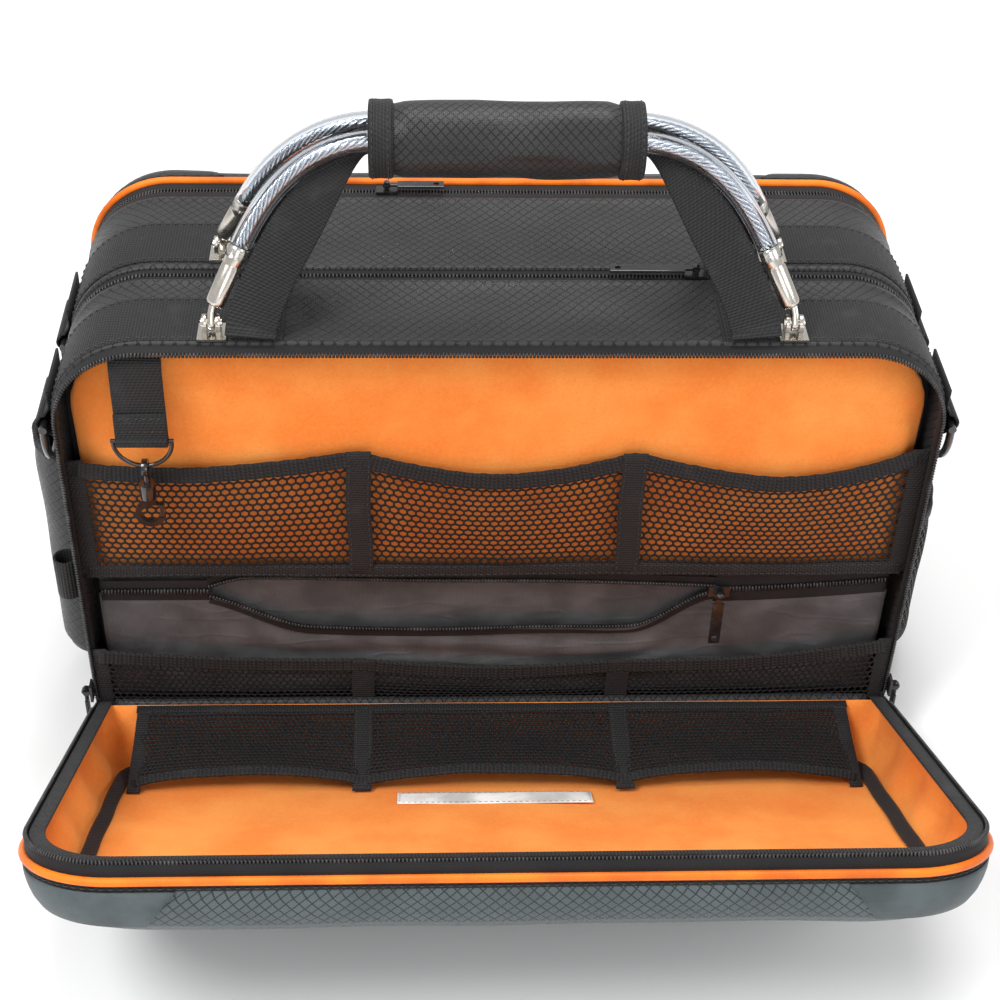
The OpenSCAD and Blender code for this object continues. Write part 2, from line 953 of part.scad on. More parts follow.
module slider(half_length = 5.5, half_side = 3.4) {
    block([-half_length, -half_side, 0.3], [half_length, half_side, 1.7]);
    for (y = [-2.6, 1.6])
        block([-1.2, y, 1.6], [1.2, y + 1, bar_rise + 0.9]);
    translate([0, -2, bar_rise])
        rotate([-90, 0, 0])
            cylinder(r = bar_radius, h = 4);
}

module pull(length) {
    translate([0, -1.4, bar_rise])
        rotate([-90, 0, 0])
            difference() {
                cylinder(r = 2.1, h = 2.8);
                translate([0, 0, -1])
                    cylinder(r = bar_radius + 0.1, h = 5);
            }
    difference() {
        translate([1.8, -1.4, bar_rise - 0.7])
            cube([4, 2.8, 1.4]);
        translate([0, -3, bar_rise - 2])
            cube([1, 6, 4]);
    }
    difference() {
        block([5.6, -3, bar_rise - 0.7], [length, 3, bar_rise + 0.7]);
        translate([length - 4, 0, 0])
            cylinder(r = 1.5, h = 10);
    }
}

// Each zip's slider: place, and the turn that lays the standard slider on it
main_slider_x = 97;
rear_slider_x = -57;
front_slider_y = front_y - 0.5;
front_slider_z = hinge_height + 7;

module at_main_zip() {
    translate([main_slider_x, main_zip_y, top_z])
        rotate([0, 0, 180])
            children();
}

module at_rear_zip() {
    translate([rear_slider_x, rear_y - 1, top_z])
        children();
}

module at_pocket_zip() {
    translate([pocket_zip_x[1], panel_y - 2.6, 97])
        rotate([90, 90, 0])
            children();
}

module at_front_zip(side) {
    translate([side * half_width, front_slider_y, front_slider_z])
        rotate([0, 0, side > 0 ? 0 : 180])
            rotate([0, 90, 0])
                children();
}

module main_slider() {
    color("#1a1a1b")
        at_main_zip()
            slider();
}

module main_pull() {
    color("#1a1a1b")
        at_main_zip()
            pull(43);
}

module rear_slider() {
    color("#1a1a1b")
        at_rear_zip()
            slider();
}

module rear_pull() {
    color("#1a1a1b")
        at_rear_zip()
            pull(30);
}

module pocket_slider() {
    color("#1a1a1b")
        at_pocket_zip()
            slider(3.4, 5.5);
}

module pocket_pull() {
    color("#1a1a1b")
        at_pocket_zip()
            pull(34);
}

module front_left_slider() {
    color("#1a1a1b")
        at_front_zip(-1)
            slider();
}

module front_left_pull() {
    color("#1a1a1b")
        at_front_zip(-1)
            pull(24);
}

module front_right_slider() {
    color("#1a1a1b")
        at_front_zip(1)
            slider();
}

module front_right_pull() {
    color("#1a1a1b")
        at_front_zip(1)
            pull(24);
}

base_panel();
base_board();
front_gusset();
rear_gusset();
body_zip_tapes();
body_zip_coils();
front_divider();
rear_divider();
upper_lining();
net_pockets();
net_bindings();
net_tapes();
pouch_panel();
webbing_bands();
webbing_tabs();
handle_anchors();
tester_sleeve();
bottle_pocket();
key_strap();
front_door_shell();
front_door_piping();
front_door_zip_tape();
front_door_zip_coil();
front_door_lining();
front_door_pocket();
front_door_pocket_tapes();
front_door_label();
rear_door_shell();
rear_door_piping();
rear_door_zip_tape();
rear_door_zip_coil();
rear_door_lining();
front_handle_strap();
front_handle_cable();
front_handle_sleeve();
front_handle_fittings();
grip_wrap();
grip_bindings();
rear_handle_strap();
rear_handle_cable();
rear_handle_sleeve();
rear_handle_fittings();
d_ring_front_left();
d_ring_front_right();
d_ring_rear_left();
d_ring_rear_right();
key_d_ring();
hook_eye();
snap_hook();
hook_gate();
main_slider();
main_pull();
rear_slider();
rear_pull();
pocket_slider();
pocket_pull();
front_left_slider();
front_left_pull();
front_right_slider();
front_right_pull();
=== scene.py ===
"""Flight bag, visual model: mesh-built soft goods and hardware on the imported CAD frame."""

import math

import bpy
import numpy as np
from mathutils import Matrix, Vector


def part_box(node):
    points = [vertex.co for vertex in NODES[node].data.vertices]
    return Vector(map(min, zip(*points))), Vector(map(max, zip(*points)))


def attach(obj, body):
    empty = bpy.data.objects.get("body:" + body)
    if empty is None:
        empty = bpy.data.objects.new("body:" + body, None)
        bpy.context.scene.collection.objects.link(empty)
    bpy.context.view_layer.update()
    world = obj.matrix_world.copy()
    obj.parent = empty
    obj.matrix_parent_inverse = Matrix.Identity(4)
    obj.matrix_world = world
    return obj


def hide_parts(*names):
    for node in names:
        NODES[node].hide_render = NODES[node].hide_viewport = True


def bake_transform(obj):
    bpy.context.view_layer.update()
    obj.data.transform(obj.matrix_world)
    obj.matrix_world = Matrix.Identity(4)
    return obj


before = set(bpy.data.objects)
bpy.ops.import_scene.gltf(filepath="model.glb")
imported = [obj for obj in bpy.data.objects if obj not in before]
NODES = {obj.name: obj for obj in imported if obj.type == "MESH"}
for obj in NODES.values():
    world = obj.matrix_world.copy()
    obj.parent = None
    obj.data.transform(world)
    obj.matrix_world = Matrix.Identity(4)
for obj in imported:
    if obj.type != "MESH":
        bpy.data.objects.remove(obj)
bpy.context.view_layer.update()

MM = 0.001


# ---------- sizes from the CAD frame, in millimetres ----------


def box(node):
    low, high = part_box(node)
    return np.array(low) / MM, np.array(high) / MM


HALF = box("base_panel")[1][0]
FRONT = box("base_panel")[0][1]
REAR = box("base_panel")[1][1]
TOP = box("front_gusset")[1][2]
HINGE = 28.0
CORNER = 44.0
TOP_HALF = HALF - CORNER
CORNER_LEN = CORNER * math.pi / 2
OPEN = math.radians(62)
SIDES = ((-1, "left"), (1, "right"))
BAND_ROWS = (("front", -66.0), ("rear", 3.0))


def smooth(t):
    t = np.clip(t, 0.0, 1.0)
    return t * t * (3 - 2 * t)


def hump(t):
    """0 at the ends of 0..1 and 1 in the middle."""
    return np.sin(np.pi * np.clip(t, 0.0, 1.0))


def ripple(x, y, seed=0.0):
    """Soft, repeatable waviness from -1 to 1 at a scale of about 1 unit."""
    return (
        np.sin(1.7 * x + 0.9 * y + seed)
        + np.sin(-1.1 * x + 2.3 * y + 1.3 * seed + 1.1)
        + np.sin(3.1 * x + 1.9 * y + 2.1 * seed + 0.4) * 0.5
    ) / 2.5


def arch(s, o=0.0):
    """Point and outward normal (x, z, nx, nz) on the body's outline at distance s from the top middle."""
    a, side = abs(s), -1.0 if s < 0 else 1.0
    if a <= TOP_HALF:
        return s, TOP + o, 0.0, 1.0
    if a <= TOP_HALF + CORNER_LEN:
        t = (a - TOP_HALF) / CORNER
        nx, nz = side * math.sin(t), math.cos(t)
        return side * TOP_HALF + (CORNER + o) * nx, TOP - CORNER + (CORNER + o) * nz, nx, nz
    return side * (HALF + o), TOP - CORNER - (a - TOP_HALF - CORNER_LEN), side, 0.0


def side_s(z):
    return TOP_HALF + CORNER_LEN + TOP - CORNER - z


def arch_run(s0, s1, step=6.0):
    """Distances from s0 to s1 with the corners stepped finely."""
    marks = [s0, s1]
    marks += list(np.arange(s0 + step, s1 - step / 2, step))
    for side in (-1, 1):
        marks += [side * (TOP_HALF + CORNER_LEN * i / 12) for i in range(13)]
    marks = sorted(m for m in marks if s0 <= m <= s1)
    keep = [marks[0]]
    for m in marks[1:]:
        if m - keep[-1] > 0.8:
            keep.append(m)
    keep[-1] = s1
    return keep


# Places for the two doors: x across, s up from the hinge when closed, d outward


def front_place(x, s, d):
    return (
        x,
        FRONT - d * math.cos(OPEN) - s * math.sin(OPEN),
        HINGE - d * math.sin(OPEN) + s * math.cos(OPEN),
    )


def rear_place(x, s, d):
    return x, REAR + d, HINGE + s


# ---------- meshes ----------


def link(name, mesh, mat, body):
    mesh.materials.append(mat)
    ob = bpy.data.objects.new(name, mesh)
    bpy.context.scene.collection.objects.link(ob)
    if body:
        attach(ob, body)
    return ob


def build(name, verts, faces, mat, body, uv=None):
    """uv holds one (u, v) in millimetres for each face corner, in the faces' order."""
    mesh = bpy.data.meshes.new(name)
    mesh.from_pydata((np.asarray(verts, float) * MM).tolist(), [], faces)
    if uv is not None:
        layer = mesh.uv_layers.new(name="UVMap")
        layer.data.foreach_set("uv", (np.asarray(uv, float) * MM).ravel().astype(np.float32))
    mesh.polygons.foreach_set("use_smooth", [True] * len(mesh.polygons))
    mesh.validate()
    return link(name, mesh, mat, body)


def grid(name, points, mat, body, u=None, v=None, round_u=False, round_v=False, caps=False):
    """A quad surface from a grid of points, with UVs in millimetres along and across it."""
    p = np.asarray(points, float)
    nu, nv = p.shape[:2]
    if u is None:
        gaps = np.linalg.norm(np.diff(p, axis=0), axis=2).mean(1)
        u = np.concatenate([[0], np.cumsum(gaps)])
        u = np.append(u, u[-1] + np.linalg.norm(p[0] - p[-1], axis=1).mean())
    if v is None:
        gaps = np.linalg.norm(np.diff(p, axis=1), axis=2).mean(0)
        v = np.concatenate([[0], np.cumsum(gaps)])
        v = np.append(v, v[-1] + np.linalg.norm(p[:, 0] - p[:, -1], axis=1).mean())
    faces, uv = [], []
    for i in range(nu if round_u else nu - 1):
        for j in range(nv if round_v else nv - 1):
            i2, j2 = (i + 1) % nu, (j + 1) % nv
            faces.append((i * nv + j, i2 * nv + j, i2 * nv + j2, i * nv + j2))
            uv += [(u[i], v[j]), (u[i + 1], v[j]), (u[i + 1], v[j + 1]), (u[i], v[j + 1])]
    if caps:
        for i, order in ((0, 1), (nu - 1, -1)):
            ring = [i * nv + j for j in range(nv)][::order]
            faces.append(tuple(ring))
            uv += [(0.0, 0.0)] * nv
    return build(name, p.reshape(-1, 3), faces, mat, body, uv)


def thicken(ob, t, offset=0.0):
    m = ob.modifiers.new("thickness", "SOLIDIFY")
    m.thickness, m.offset, m.use_even_offset = t * MM, offset, False
    return ob


def subdivide(ob, levels=1):
    m = ob.modifiers.new("smooth", "SUBSURF")
    m.levels = m.render_levels = levels
    return ob


def bevel(ob, width):
    w = ob.modifiers.new("weld", "WELD")
    w.merge_threshold = 0.00001
    m = ob.modifiers.new("edges", "BEVEL")
    m.width, m.segments, m.limit_method = width * MM, 2, "ANGLE"
    m.angle_limit = math.radians(38)
    m.harden_normals = False
    return ob


def join(name, parts, mat, body):
    """One mesh from several (verts, faces) lists."""
    verts, faces = [], []
    for pv, pf in parts:
        base = len(verts)
        verts += [tuple(p) for p in pv]
        faces += [tuple(base + i for i in f) for f in pf]
    return build(name, verts, faces, mat, body)


def unit(v):
    v = np.asarray(v, float)
    return v / max(np.linalg.norm(v), 1e-12)


def run_lengths(points):
    """Distance along a path at each of its points."""
    return np.concatenate([[0], np.cumsum(np.linalg.norm(np.diff(points, axis=0), axis=1))])


def ring_faces(rings, count, base=0):
    """Quads between successive rings of points, each ring with the same count."""
    faces = []
    for i in range(rings - 1):
        for k in range(count):
            a, b = base + i * count + k, base + i * count + (k + 1) % count
            faces.append((a, b, b + count, a + count))
    return faces


def strip_ups(points, across):
    """Outward directions of a tape that winds about the across axis."""
    ups = []
    last = len(points) - 1
    for i in range(len(points)):
        a, b = np.array(points[max(0, i - 1)]), np.array(points[min(last, i + 1)])
        ups.append(unit(np.cross(unit(b - a), across)))
    return np.array(ups)


def frames(path, up):
    """Tangent, side and up at each point of a path, with up held near the given direction."""
    p = np.asarray(path, float)
    t = np.gradient(p, axis=0)
    out = []
    for i in range(len(p)):
        f = unit(t[i])
        u = np.asarray(up[i] if np.ndim(up) == 2 else up, float)
        side = unit(np.cross(f, u))
        out.append((f, side, unit(np.cross(side, f))))
    return out


def sweep(name, path, section, mat, body, up=(0, 0, 1), widths=None, closed=False):
    """A closed section of (side, up) points carried along a path; widths scales its side."""
    p = np.asarray(path, float)
    rows = []
    for i, (_, side, top) in enumerate(frames(p, up)):
        k = 1.0 if widths is None else widths[i]
        rows.append([p[i] + side * a * k + top * b for a, b in section])
    return grid(name, rows, mat, body, round_v=True, round_u=closed, caps=not closed)


def tube_parts(path, radius, sides=10, up=(0, 0, 1)):
    """Verts and faces of a capped round rod; radius is a number or one for each point."""
    p = np.asarray(path, float)
    r = np.full(len(p), radius) if np.isscalar(radius) else np.asarray(radius, float)
    verts, faces = [], []
    for i, (_, side, top) in enumerate(frames(p, up)):
        for k in range(sides):
            a = 2 * math.pi * k / sides
            verts.append(p[i] + r[i] * (math.cos(a) * side + math.sin(a) * top))
    faces += ring_faces(len(p), sides)
    faces.append(tuple(range(sides))[::-1])
    faces.append(tuple((len(p) - 1) * sides + k for k in range(sides)))
    return verts, faces


def flat_section(width, height, n=3, ribs=0, rib=0.0):
    """Section of a strap: rounded edges, with ribs on its faces if asked."""
    r = height / 2
    pts = []
    count = max(2, ribs * 4 + 1)

    def raised(t):
        return rib * (0.5 - 0.5 * math.cos(2 * math.pi * ribs * t))

    for i in range(count):
        t = i / (count - 1)
        pts.append((-width / 2 + r + (width - height) * t, r + raised(t)))
    for i in range(1, n):
        a = math.pi / 2 - math.pi * i / n
        pts.append((width / 2 - r + r * math.cos(a), r * math.sin(a)))
    for i in range(count):
        t = i / (count - 1)
        pts.append((width / 2 - r - (width - height) * t, -r - raised(t)))
    for i in range(1, n):
        a = -math.pi / 2 - math.pi * i / n
        pts.append((-width / 2 + r + r * math.cos(a), r * math.sin(a)))
    return pts[::-1]


def round_section(r, n=12, squash=1.0):
    return [(r * math.cos(2 * math.pi * k / n), r * squash * math.sin(2 * math.pi * k / n)) for k in range(n)]


def arch_sweep(name, stations, section, mat, body, place=None):
    """A section of (outward, depth) points carried along the outline."""
    rows = []
    for s in stations:
        row = []
        for o, d in section:
            x, z, _, _ = arch(s, o)
            row.append((x, d, z) if place is None else place(x, z - HINGE, d))
        rows.append(row)
    return grid(name, rows, mat, body, u=list(stations) + [stations[-1] + 1], round_v=True, caps=True)


def rounded(o0, o1, d0, d1, r=0.4, n=3):
    """Rounded rectangle as (outward, depth) points."""
    pts = []
    corners = ((o1 - r, d1 - r, 0), (o0 + r, d1 - r, 90), (o0 + r, d0 + r, 180), (o1 - r, d0 + r, 270))
    for co, cd, a0 in corners:
        for i in range(n):
            a = math.radians(a0 + 90 * i / (n - 1))
            pts.append((co + r * math.cos(a), cd + r * math.sin(a)))
    return pts


TOOTH = [(-0.5, 0.02), (-0.36, 0.4), (0.0, 0.52), (0.36, 0.4), (0.5, 0.02)]


def teeth(name, spots, width, height, size, mat, body):
    """Zip coil turns: one small arched bar at each (centre, across, up, along)."""
    verts, faces = [], []
    for c, across, up, along in spots:
        base = len(verts)
        for a, h in TOOTH:
            m = c + across * a * width + up * h * height
            for da, dh in ((-0.5, 0.0), (0.0, 0.5), (0.5, 0.0), (0.0, -0.5)):
                verts.append(m + along * da * size + up * dh * size * 0.9)
        faces += ring_faces(len(TOOTH), 4, base)
        faces.append((base + 3, base + 2, base + 1, base))
        e = base + 4 * (len(TOOTH) - 1)
        faces.append((e, e + 1, e + 2, e + 3))
    return build(name, verts, faces, mat, body)


def arch_teeth(name, s0, s1, o, d, width, height, pitch, mat, body, place=None, swing=0.0):
    """Coil turns that stand outward along the outline; swing shifts them in turn to either side."""
    spots = []
    count = int((s1 - s0) / pitch)
    for i in range(count + 1):
        s = s0 + (s1 - s0) * i / count
        x, z, nx, nz = arch(s, o)
        shift = swing * (1 if i % 2 else -1)
        if place is None:
            at = np.array((x, d + shift, z))
            out, deep = np.array((nx, 0, nz)), np.array((0.0, 1.0, 0.0))
        else:
            at = np.array(place(x, z - HINGE, d + shift))
            out = np.array(place(nx, nz, 0.0)) - np.array(place(0, 0, 0))
            deep = np.array(place(0, 0, 1.0)) - np.array(place(0, 0, 0))
        along = np.cross(out, deep)
        spots.append((at, deep, out, along))
    return teeth(name, spots, width, height, pitch * 0.84, mat, body)


def stitches(name, path, normal, mat, body, length=2.6, gap=1.3, radius=0.28, lift=0.1):
    """A row of thread stitches along a path that lies on a surface."""
    p = np.asarray(path, float)
    n = np.asarray(normal, float)
    n = np.tile(n, (len(p), 1)) if n.ndim == 1 else n
    run = run_lengths(p)
    radii = [radius * 0.5, radius, radius, radius, radius * 0.5]
    parts = []
    at = gap
    while at + length < run[-1]:
        pts, nn = [], []
        for k in range(5):
            w = at + length * k / 4
            pts.append([np.interp(w, run, p[:, j]) for j in range(3)])
            nn.append(unit([np.interp(w, run, n[:, j]) for j in range(3)]))
        pts, nn = np.array(pts), np.array(nn)
        rise = np.array([-0.25, 0.12, 0.3, 0.12, -0.25])[:, None] + lift
        parts.append(tube_parts(pts + nn * rise, radii, 6, nn[2] + (0.01, 0.02, 0.0)))
        at += length + gap
    return join(name, parts, mat, body)


def net(name, u0, u1, v0, v1, cell, share, where, mat, body, depth=0.7):
    """Knitted net of hexagonal holes; where(u, v) gives each point. share is a hole's size in its cell."""
    size = cell / math.sqrt(3)
    verts, faces, seen = [], [], {}

    def corner(u, v):
        key = (round(u, 2), round(v, 2))
        if key not in seen:
            seen[key] = len(verts)
            verts.append((min(max(u, u0), u1), min(max(v, v0), v1)))
        return seen[key]

    rows = int((v1 - v0) / (1.5 * size)) + 2
    columns = int((u1 - u0) / cell) + 2
    for j in range(rows):
        for i in range(columns):
            cu = u0 + (i + (0.5 if j % 2 else 0.0)) * cell
            cv = v0 + j * 1.5 * size
            if cu > u1 + cell * 0.4 or cv > v1 + size * 0.6:
                continue
            outer, inner = [], []
            for k in range(6):
                a = math.radians(60 * k + 30)
                ou, ov = cu + size * math.cos(a), cv + size * math.sin(a)
                outer.append(corner(ou, ov))
                iu, iv = cu + size * share * math.cos(a), cv + size * share * math.sin(a)
                inner.append(len(verts))
                verts.append((min(max(iu, u0), u1), min(max(iv, v0), v1)))
            for k in range(6):
                k2 = (k + 1) % 6
                ring = (outer[k], outer[k2], inner[k2], inner[k])
                area = 0.0
                for q in range(4):
                    (xa, ya), (xb, yb) = verts[ring[q]], verts[ring[(q + 1) % 4]]
                    area += xa * yb - xb * ya
                if abs(area) > 0.05:
                    faces.append(ring)
    points = [where(a, b) for a, b in verts]
    used = sorted({i for f in faces for i in f})
    place = {old: new for new, old in enumerate(used)}
    faces = [tuple(place[i] for i in f) for f in faces]
    uv = [verts[used[i]] for f in faces for i in f]
    ob = build(name, [points[i] for i in used], faces, mat, body, uv)
    return thicken(ob, depth)


def inflate(ob, voxel, pressure, cap):
    """Cloth simulation of a padded piece: remeshed, blown up gently, and held near its start."""
    bpy.context.view_layer.objects.active = ob
    for other in bpy.context.selected_objects:
        other.select_set(False)
    ob.select_set(True)
    ob.data.remesh_voxel_size = voxel * MM
    bpy.ops.object.voxel_remesh()
    start = np.array([v.co for v in ob.data.vertices])
    m = ob.modifiers.new("cloth", "CLOTH")
    s = m.settings
    s.quality, s.mass, s.tension_stiffness, s.bending_stiffness = 4, 0.3, 12.0, 1.2
    s.use_pressure, s.uniform_pressure_force = True, pressure
    s.effector_weights.gravity = 0.0
    m.collision_settings.use_collision = False
    for step in range(1, 21):
        bpy.context.scene.frame_set(step)
    dg = bpy.context.evaluated_depsgraph_get()
    moved = np.array([v.co for v in ob.evaluated_get(dg).data.vertices])
    ob.modifiers.remove(m)
    bpy.context.scene.frame_set(1)
    shift = moved - start
    far = np.linalg.norm(shift, axis=1, keepdims=True)
    shift *= np.minimum(1.0, cap * MM / np.maximum(far, 1e-9))
    ob.data.vertices.foreach_set("co", (start + shift).ravel())
    ob.data.update()
    ob.data.polygons.foreach_set("use_smooth", [True] * len(ob.data.polygons))
    subdivide(ob, 1)
    return ob


# ---------- materials ----------


class Paint:
    """A Principled material with short calls for its nodes."""

    def __init__(self, name, colour, rough, metal=0.0, **sockets):
        self.mat = bpy.data.materials.new(name)
        self.mat.use_nodes = True
        self.tree = self.mat.node_tree
        self.shader = self.tree.nodes["Principled BSDF"]
        self.put("Base Color", (*colour, 1.0))
        self.put("Roughness", rough)
        self.put("Metallic", metal)
        for key, value in sockets.items():
            self.put(key.replace("_", " "), value)
        self.space = None

    def put(self, socket, value):
        self.shader.inputs[socket].default_value = value

    def node(self, kind, **values):
        n = self.tree.nodes.new(kind)
        for key, value in values.items():
            setattr(n, key, value)
        return n

    def wire(self, a, b):
        self.tree.links.new(a, b)

    def math(self, op, a, b=0.0, c=0.0):
        n = self.node("ShaderNodeMath", operation=op)
        for socket, value in zip(n.inputs, (a, b, c)):
            if isinstance(value, (int, float)):
                socket.default_value = value
            else:
                self.wire(value, socket)
        return n.outputs[0]

    def coords(self, kind):
        if self.space is None:
            self.space = self.node("ShaderNodeTexCoord")
        return self.space.outputs[kind]

    def uv(self):
        n = self.node("ShaderNodeSeparateXYZ")
        self.wire(self.coords("UV"), n.inputs[0])
        return n.outputs[0], n.outputs[1]

    def noise(self, scale, detail=2.0, rough=0.5, stretch=None):
        n = self.node("ShaderNodeTexNoise")
        n.inputs["Scale"].default_value = scale
        n.inputs["Detail"].default_value = detail
        n.inputs["Roughness"].default_value = rough
        source = self.coords("Object")
        if stretch:
            m = self.node("ShaderNodeMapping")
            m.inputs["Scale"].default_value = stretch
            self.wire(source, m.inputs["Vector"])
            source = m.outputs[0]
        self.wire(source, n.inputs["Vector"])
        return n.outputs["Fac"]

    def range(self, value, a, b, low=0.0, high=1.0):
        n = self.node("ShaderNodeMapRange", interpolation_type="SMOOTHSTEP")
        self.wire(value, n.inputs[0])
        for socket, x in zip(n.inputs[1:5], (a, b, low, high)):
            socket.default_value = x
        return n.outputs[0]

    def mix(self, fac, a, b):
        n = self.node("ShaderNodeMix", data_type="RGBA")
        self.wire(fac, n.inputs["Factor"])
        for socket, value in ((n.inputs[6], a), (n.inputs[7], b)):
            if isinstance(value, tuple):
                socket.default_value = (*value, 1.0)
            else:
                self.wire(value, socket)
        return n.outputs[2]

    def bump(self, height, strength, distance):
        n = self.node("ShaderNodeBump")
        n.inputs["Strength"].default_value = strength
        n.inputs["Distance"].default_value = distance * MM
        self.wire(height, n.inputs["Height"])
        self.wire(n.outputs[0], self.shader.inputs["Normal"])

    def colour(self, source):
        self.wire(source, self.shader.inputs["Base Color"])

    def rough(self, source):
        self.wire(source, self.shader.inputs["Roughness"])

    def wave(self, source, pitch):
        """Sine from 0 to 1 with that pitch in millimetres."""
        s = self.math("MULTIPLY", source, 2 * math.pi / (pitch * MM))
        return self.math("MULTIPLY_ADD", self.math("SINE", s), 0.5, 0.5)


def times(colour, k):
    return tuple(min(1.0, c * k) for c in colour)


def ripstop(name, colour, line, cell=5.7, rough=0.46):
    """Coated nylon with raised diamond rip threads."""
    p = Paint(name, colour, rough, Sheen_Weight=0.05, Sheen_Roughness=0.4, Specular_IOR_Level=0.3)
    u, v = p.uv()
    a, b = p.math("MULTIPLY", u, 1 / (cell * MM)), p.math("MULTIPLY", v, 1 / (cell * 1.05 * MM))
    one = p.math("PINGPONG", p.math("ADD", a, b), 0.5)
    two = p.math("PINGPONG", p.math("SUBTRACT", a, b), 0.5)
    near = p.math("MINIMUM", one, two)
    thread = p.range(near, 0.03, 0.1, 1.0, 0.0)
    weave = p.math("MULTIPLY", p.wave(u, 0.9), p.wave(v, 0.9))
    cloud = p.noise(38.0, 3.0)
    tone = p.mix(p.range(cloud, 0.3, 0.7), times(colour, 0.88), times(colour, 1.14))
    p.colour(p.mix(thread, tone, line))
    p.rough(p.math("MULTIPLY_ADD", cloud, 0.2, p.math("MULTIPLY_ADD", thread, -0.14, rough - 0.1)))
    grain = p.math("ADD", thread, p.math("MULTIPLY", p.noise(900.0, 2.0), 0.35))
    height = p.math("MULTIPLY_ADD", weave, 0.3, grain)
    p.bump(height, 0.85, 0.28)
    return p.mat


def webbing(name, colour, rough=0.62, pitch=1.5):
    """Ribbed nylon webbing, with painted shade in the rib grooves and a painted highlight on the rib tops."""
    p = Paint(name, colour, rough, Sheen_Weight=0.06, Sheen_Roughness=0.45, Specular_IOR_Level=0.25)
    u, v = p.uv()
    rib = p.wave(u, pitch)
    yarn = p.wave(p.math("ADD", v, p.math("MULTIPLY", u, 0.5)), 2.1)
    height = p.math("MULTIPLY_ADD", yarn, 0.6, rib)
    # darker in the rib grooves and lighter on the rib tops, following the bump height: painted shade and
    # painted highlight
    painted_rib_shade = p.mix(p.range(height, 0.2, 1.3), times(colour, 0.55), times(colour, 1.45))
    p.colour(p.mix(p.range(p.noise(60.0, 3.0), 0.55, 0.8), painted_rib_shade, times(colour, 1.9)))
    p.rough(p.math("MULTIPLY_ADD", p.noise(300.0), 0.2, rough - 0.1))
    p.bump(p.math("ADD", height, p.math("MULTIPLY", p.noise(1500.0), 0.4)), 0.8, 0.3)
    return p.mat


def velour(name, colour, shaded):
    """Brushed lining fabric, with painted shade: its second colour is the lining's orange as seen in shade.
    """
    p = Paint(name, colour, 0.85, Sheen_Weight=0.22, Sheen_Roughness=0.5,
              Sheen_Tint=(1.0, 0.55, 0.28, 1.0), Specular_IOR_Level=0.15)
    nap = p.noise(1400.0, 3.0, 0.65)
    cloud = p.noise(24.0, 3.0, 0.55)
    fleck = p.noise(420.0, 2.0, 0.5)
    # random darker clouds in the lining's orange as seen in shade: painted shade
    base = p.mix(p.range(cloud, 0.32, 0.7), shaded, colour)
    base = p.mix(p.range(fleck, 0.4, 0.8, 0.0, 0.3), base, times(colour, 1.08))
    # darker still where the pile is low, following its bump: painted shade
    p.colour(p.mix(p.range(nap, 0.3, 0.55, 0.4, 0.0), base, times(shaded, 0.8)))
    p.bump(p.math("ADD", nap, p.math("MULTIPLY", fleck, 0.8)), 0.55, 0.35)
    return p.mat


def cloth(name, colour, rough=0.6, sheen=0.05, crease=0.0, weave=0.8, deep=0.2):
    """Plain woven fabric, with soft creases if asked."""
    p = Paint(name, colour, rough, Sheen_Weight=sheen, Sheen_Roughness=0.4, Specular_IOR_Level=0.3)
    u, v = p.uv()
    threads = p.math("ADD", p.wave(u, weave), p.wave(v, weave * 0.8))
    cloud = p.noise(45.0, 3.0)
    p.colour(p.mix(p.range(cloud, 0.3, 0.7), times(colour, 0.75), times(colour, 1.3)))
    p.rough(p.math("MULTIPLY_ADD", cloud, 0.25, rough - 0.12))
    height = p.math("MULTIPLY", threads, 0.4)
    if crease:
        fold = p.noise(30.0, 2.0, 0.4, stretch=(0.6, 1.0, 2.2))
        ridge = p.range(p.math("ABSOLUTE", p.math("SUBTRACT", fold, 0.5)), 0.0, 0.06, crease, 0.0)
        height = p.math("ADD", height, ridge)
    p.bump(p.math("ADD", height, p.math("MULTIPLY", p.noise(1200.0), 0.3)), 0.7, deep)
    return p.mat


def yarn(name, colour, rough, scale):
    """Small textile parts whose weave comes from noise alone, such as net strands and thread."""
    p = Paint(name, colour, rough, Sheen_Weight=0.05, Sheen_Roughness=0.4, Specular_IOR_Level=0.25)
    fine = p.noise(scale, 3.0, 0.6)
    p.colour(p.mix(p.range(fine, 0.35, 0.65), times(colour, 0.6), times(colour, 1.5)))
    p.rough(p.math("MULTIPLY_ADD", fine, 0.3, rough - 0.15))
    p.bump(fine, 0.6, 0.2)
    return p.mat


def hard(name, colour, rough, metal=0.0, wear=None, marks=700.0, depth=0.06, **sockets):
    """Metal or moulded plastic with fine marks and lighter worn patches."""
    p = Paint(name, colour, rough, metal, **sockets)
    fine = p.noise(marks, 4.0, 0.7)
    broad = p.noise(90.0, 3.0, 0.6)
    p.rough(p.math("MULTIPLY_ADD", fine, 0.22, max(0.02, rough - 0.11)))
    p.colour(p.mix(p.range(broad, 0.45, 0.75), colour, wear or times(colour, 1.25)))
    p.bump(p.math("ADD", fine, p.math("MULTIPLY", broad, 0.6)), 0.35, depth)
    return p.mat


ORANGE = (0.93, 0.33, 0.072)
# the lining's orange as seen in shade, used for its painted shade
SHADED_ORANGE = (0.86, 0.235, 0.04)

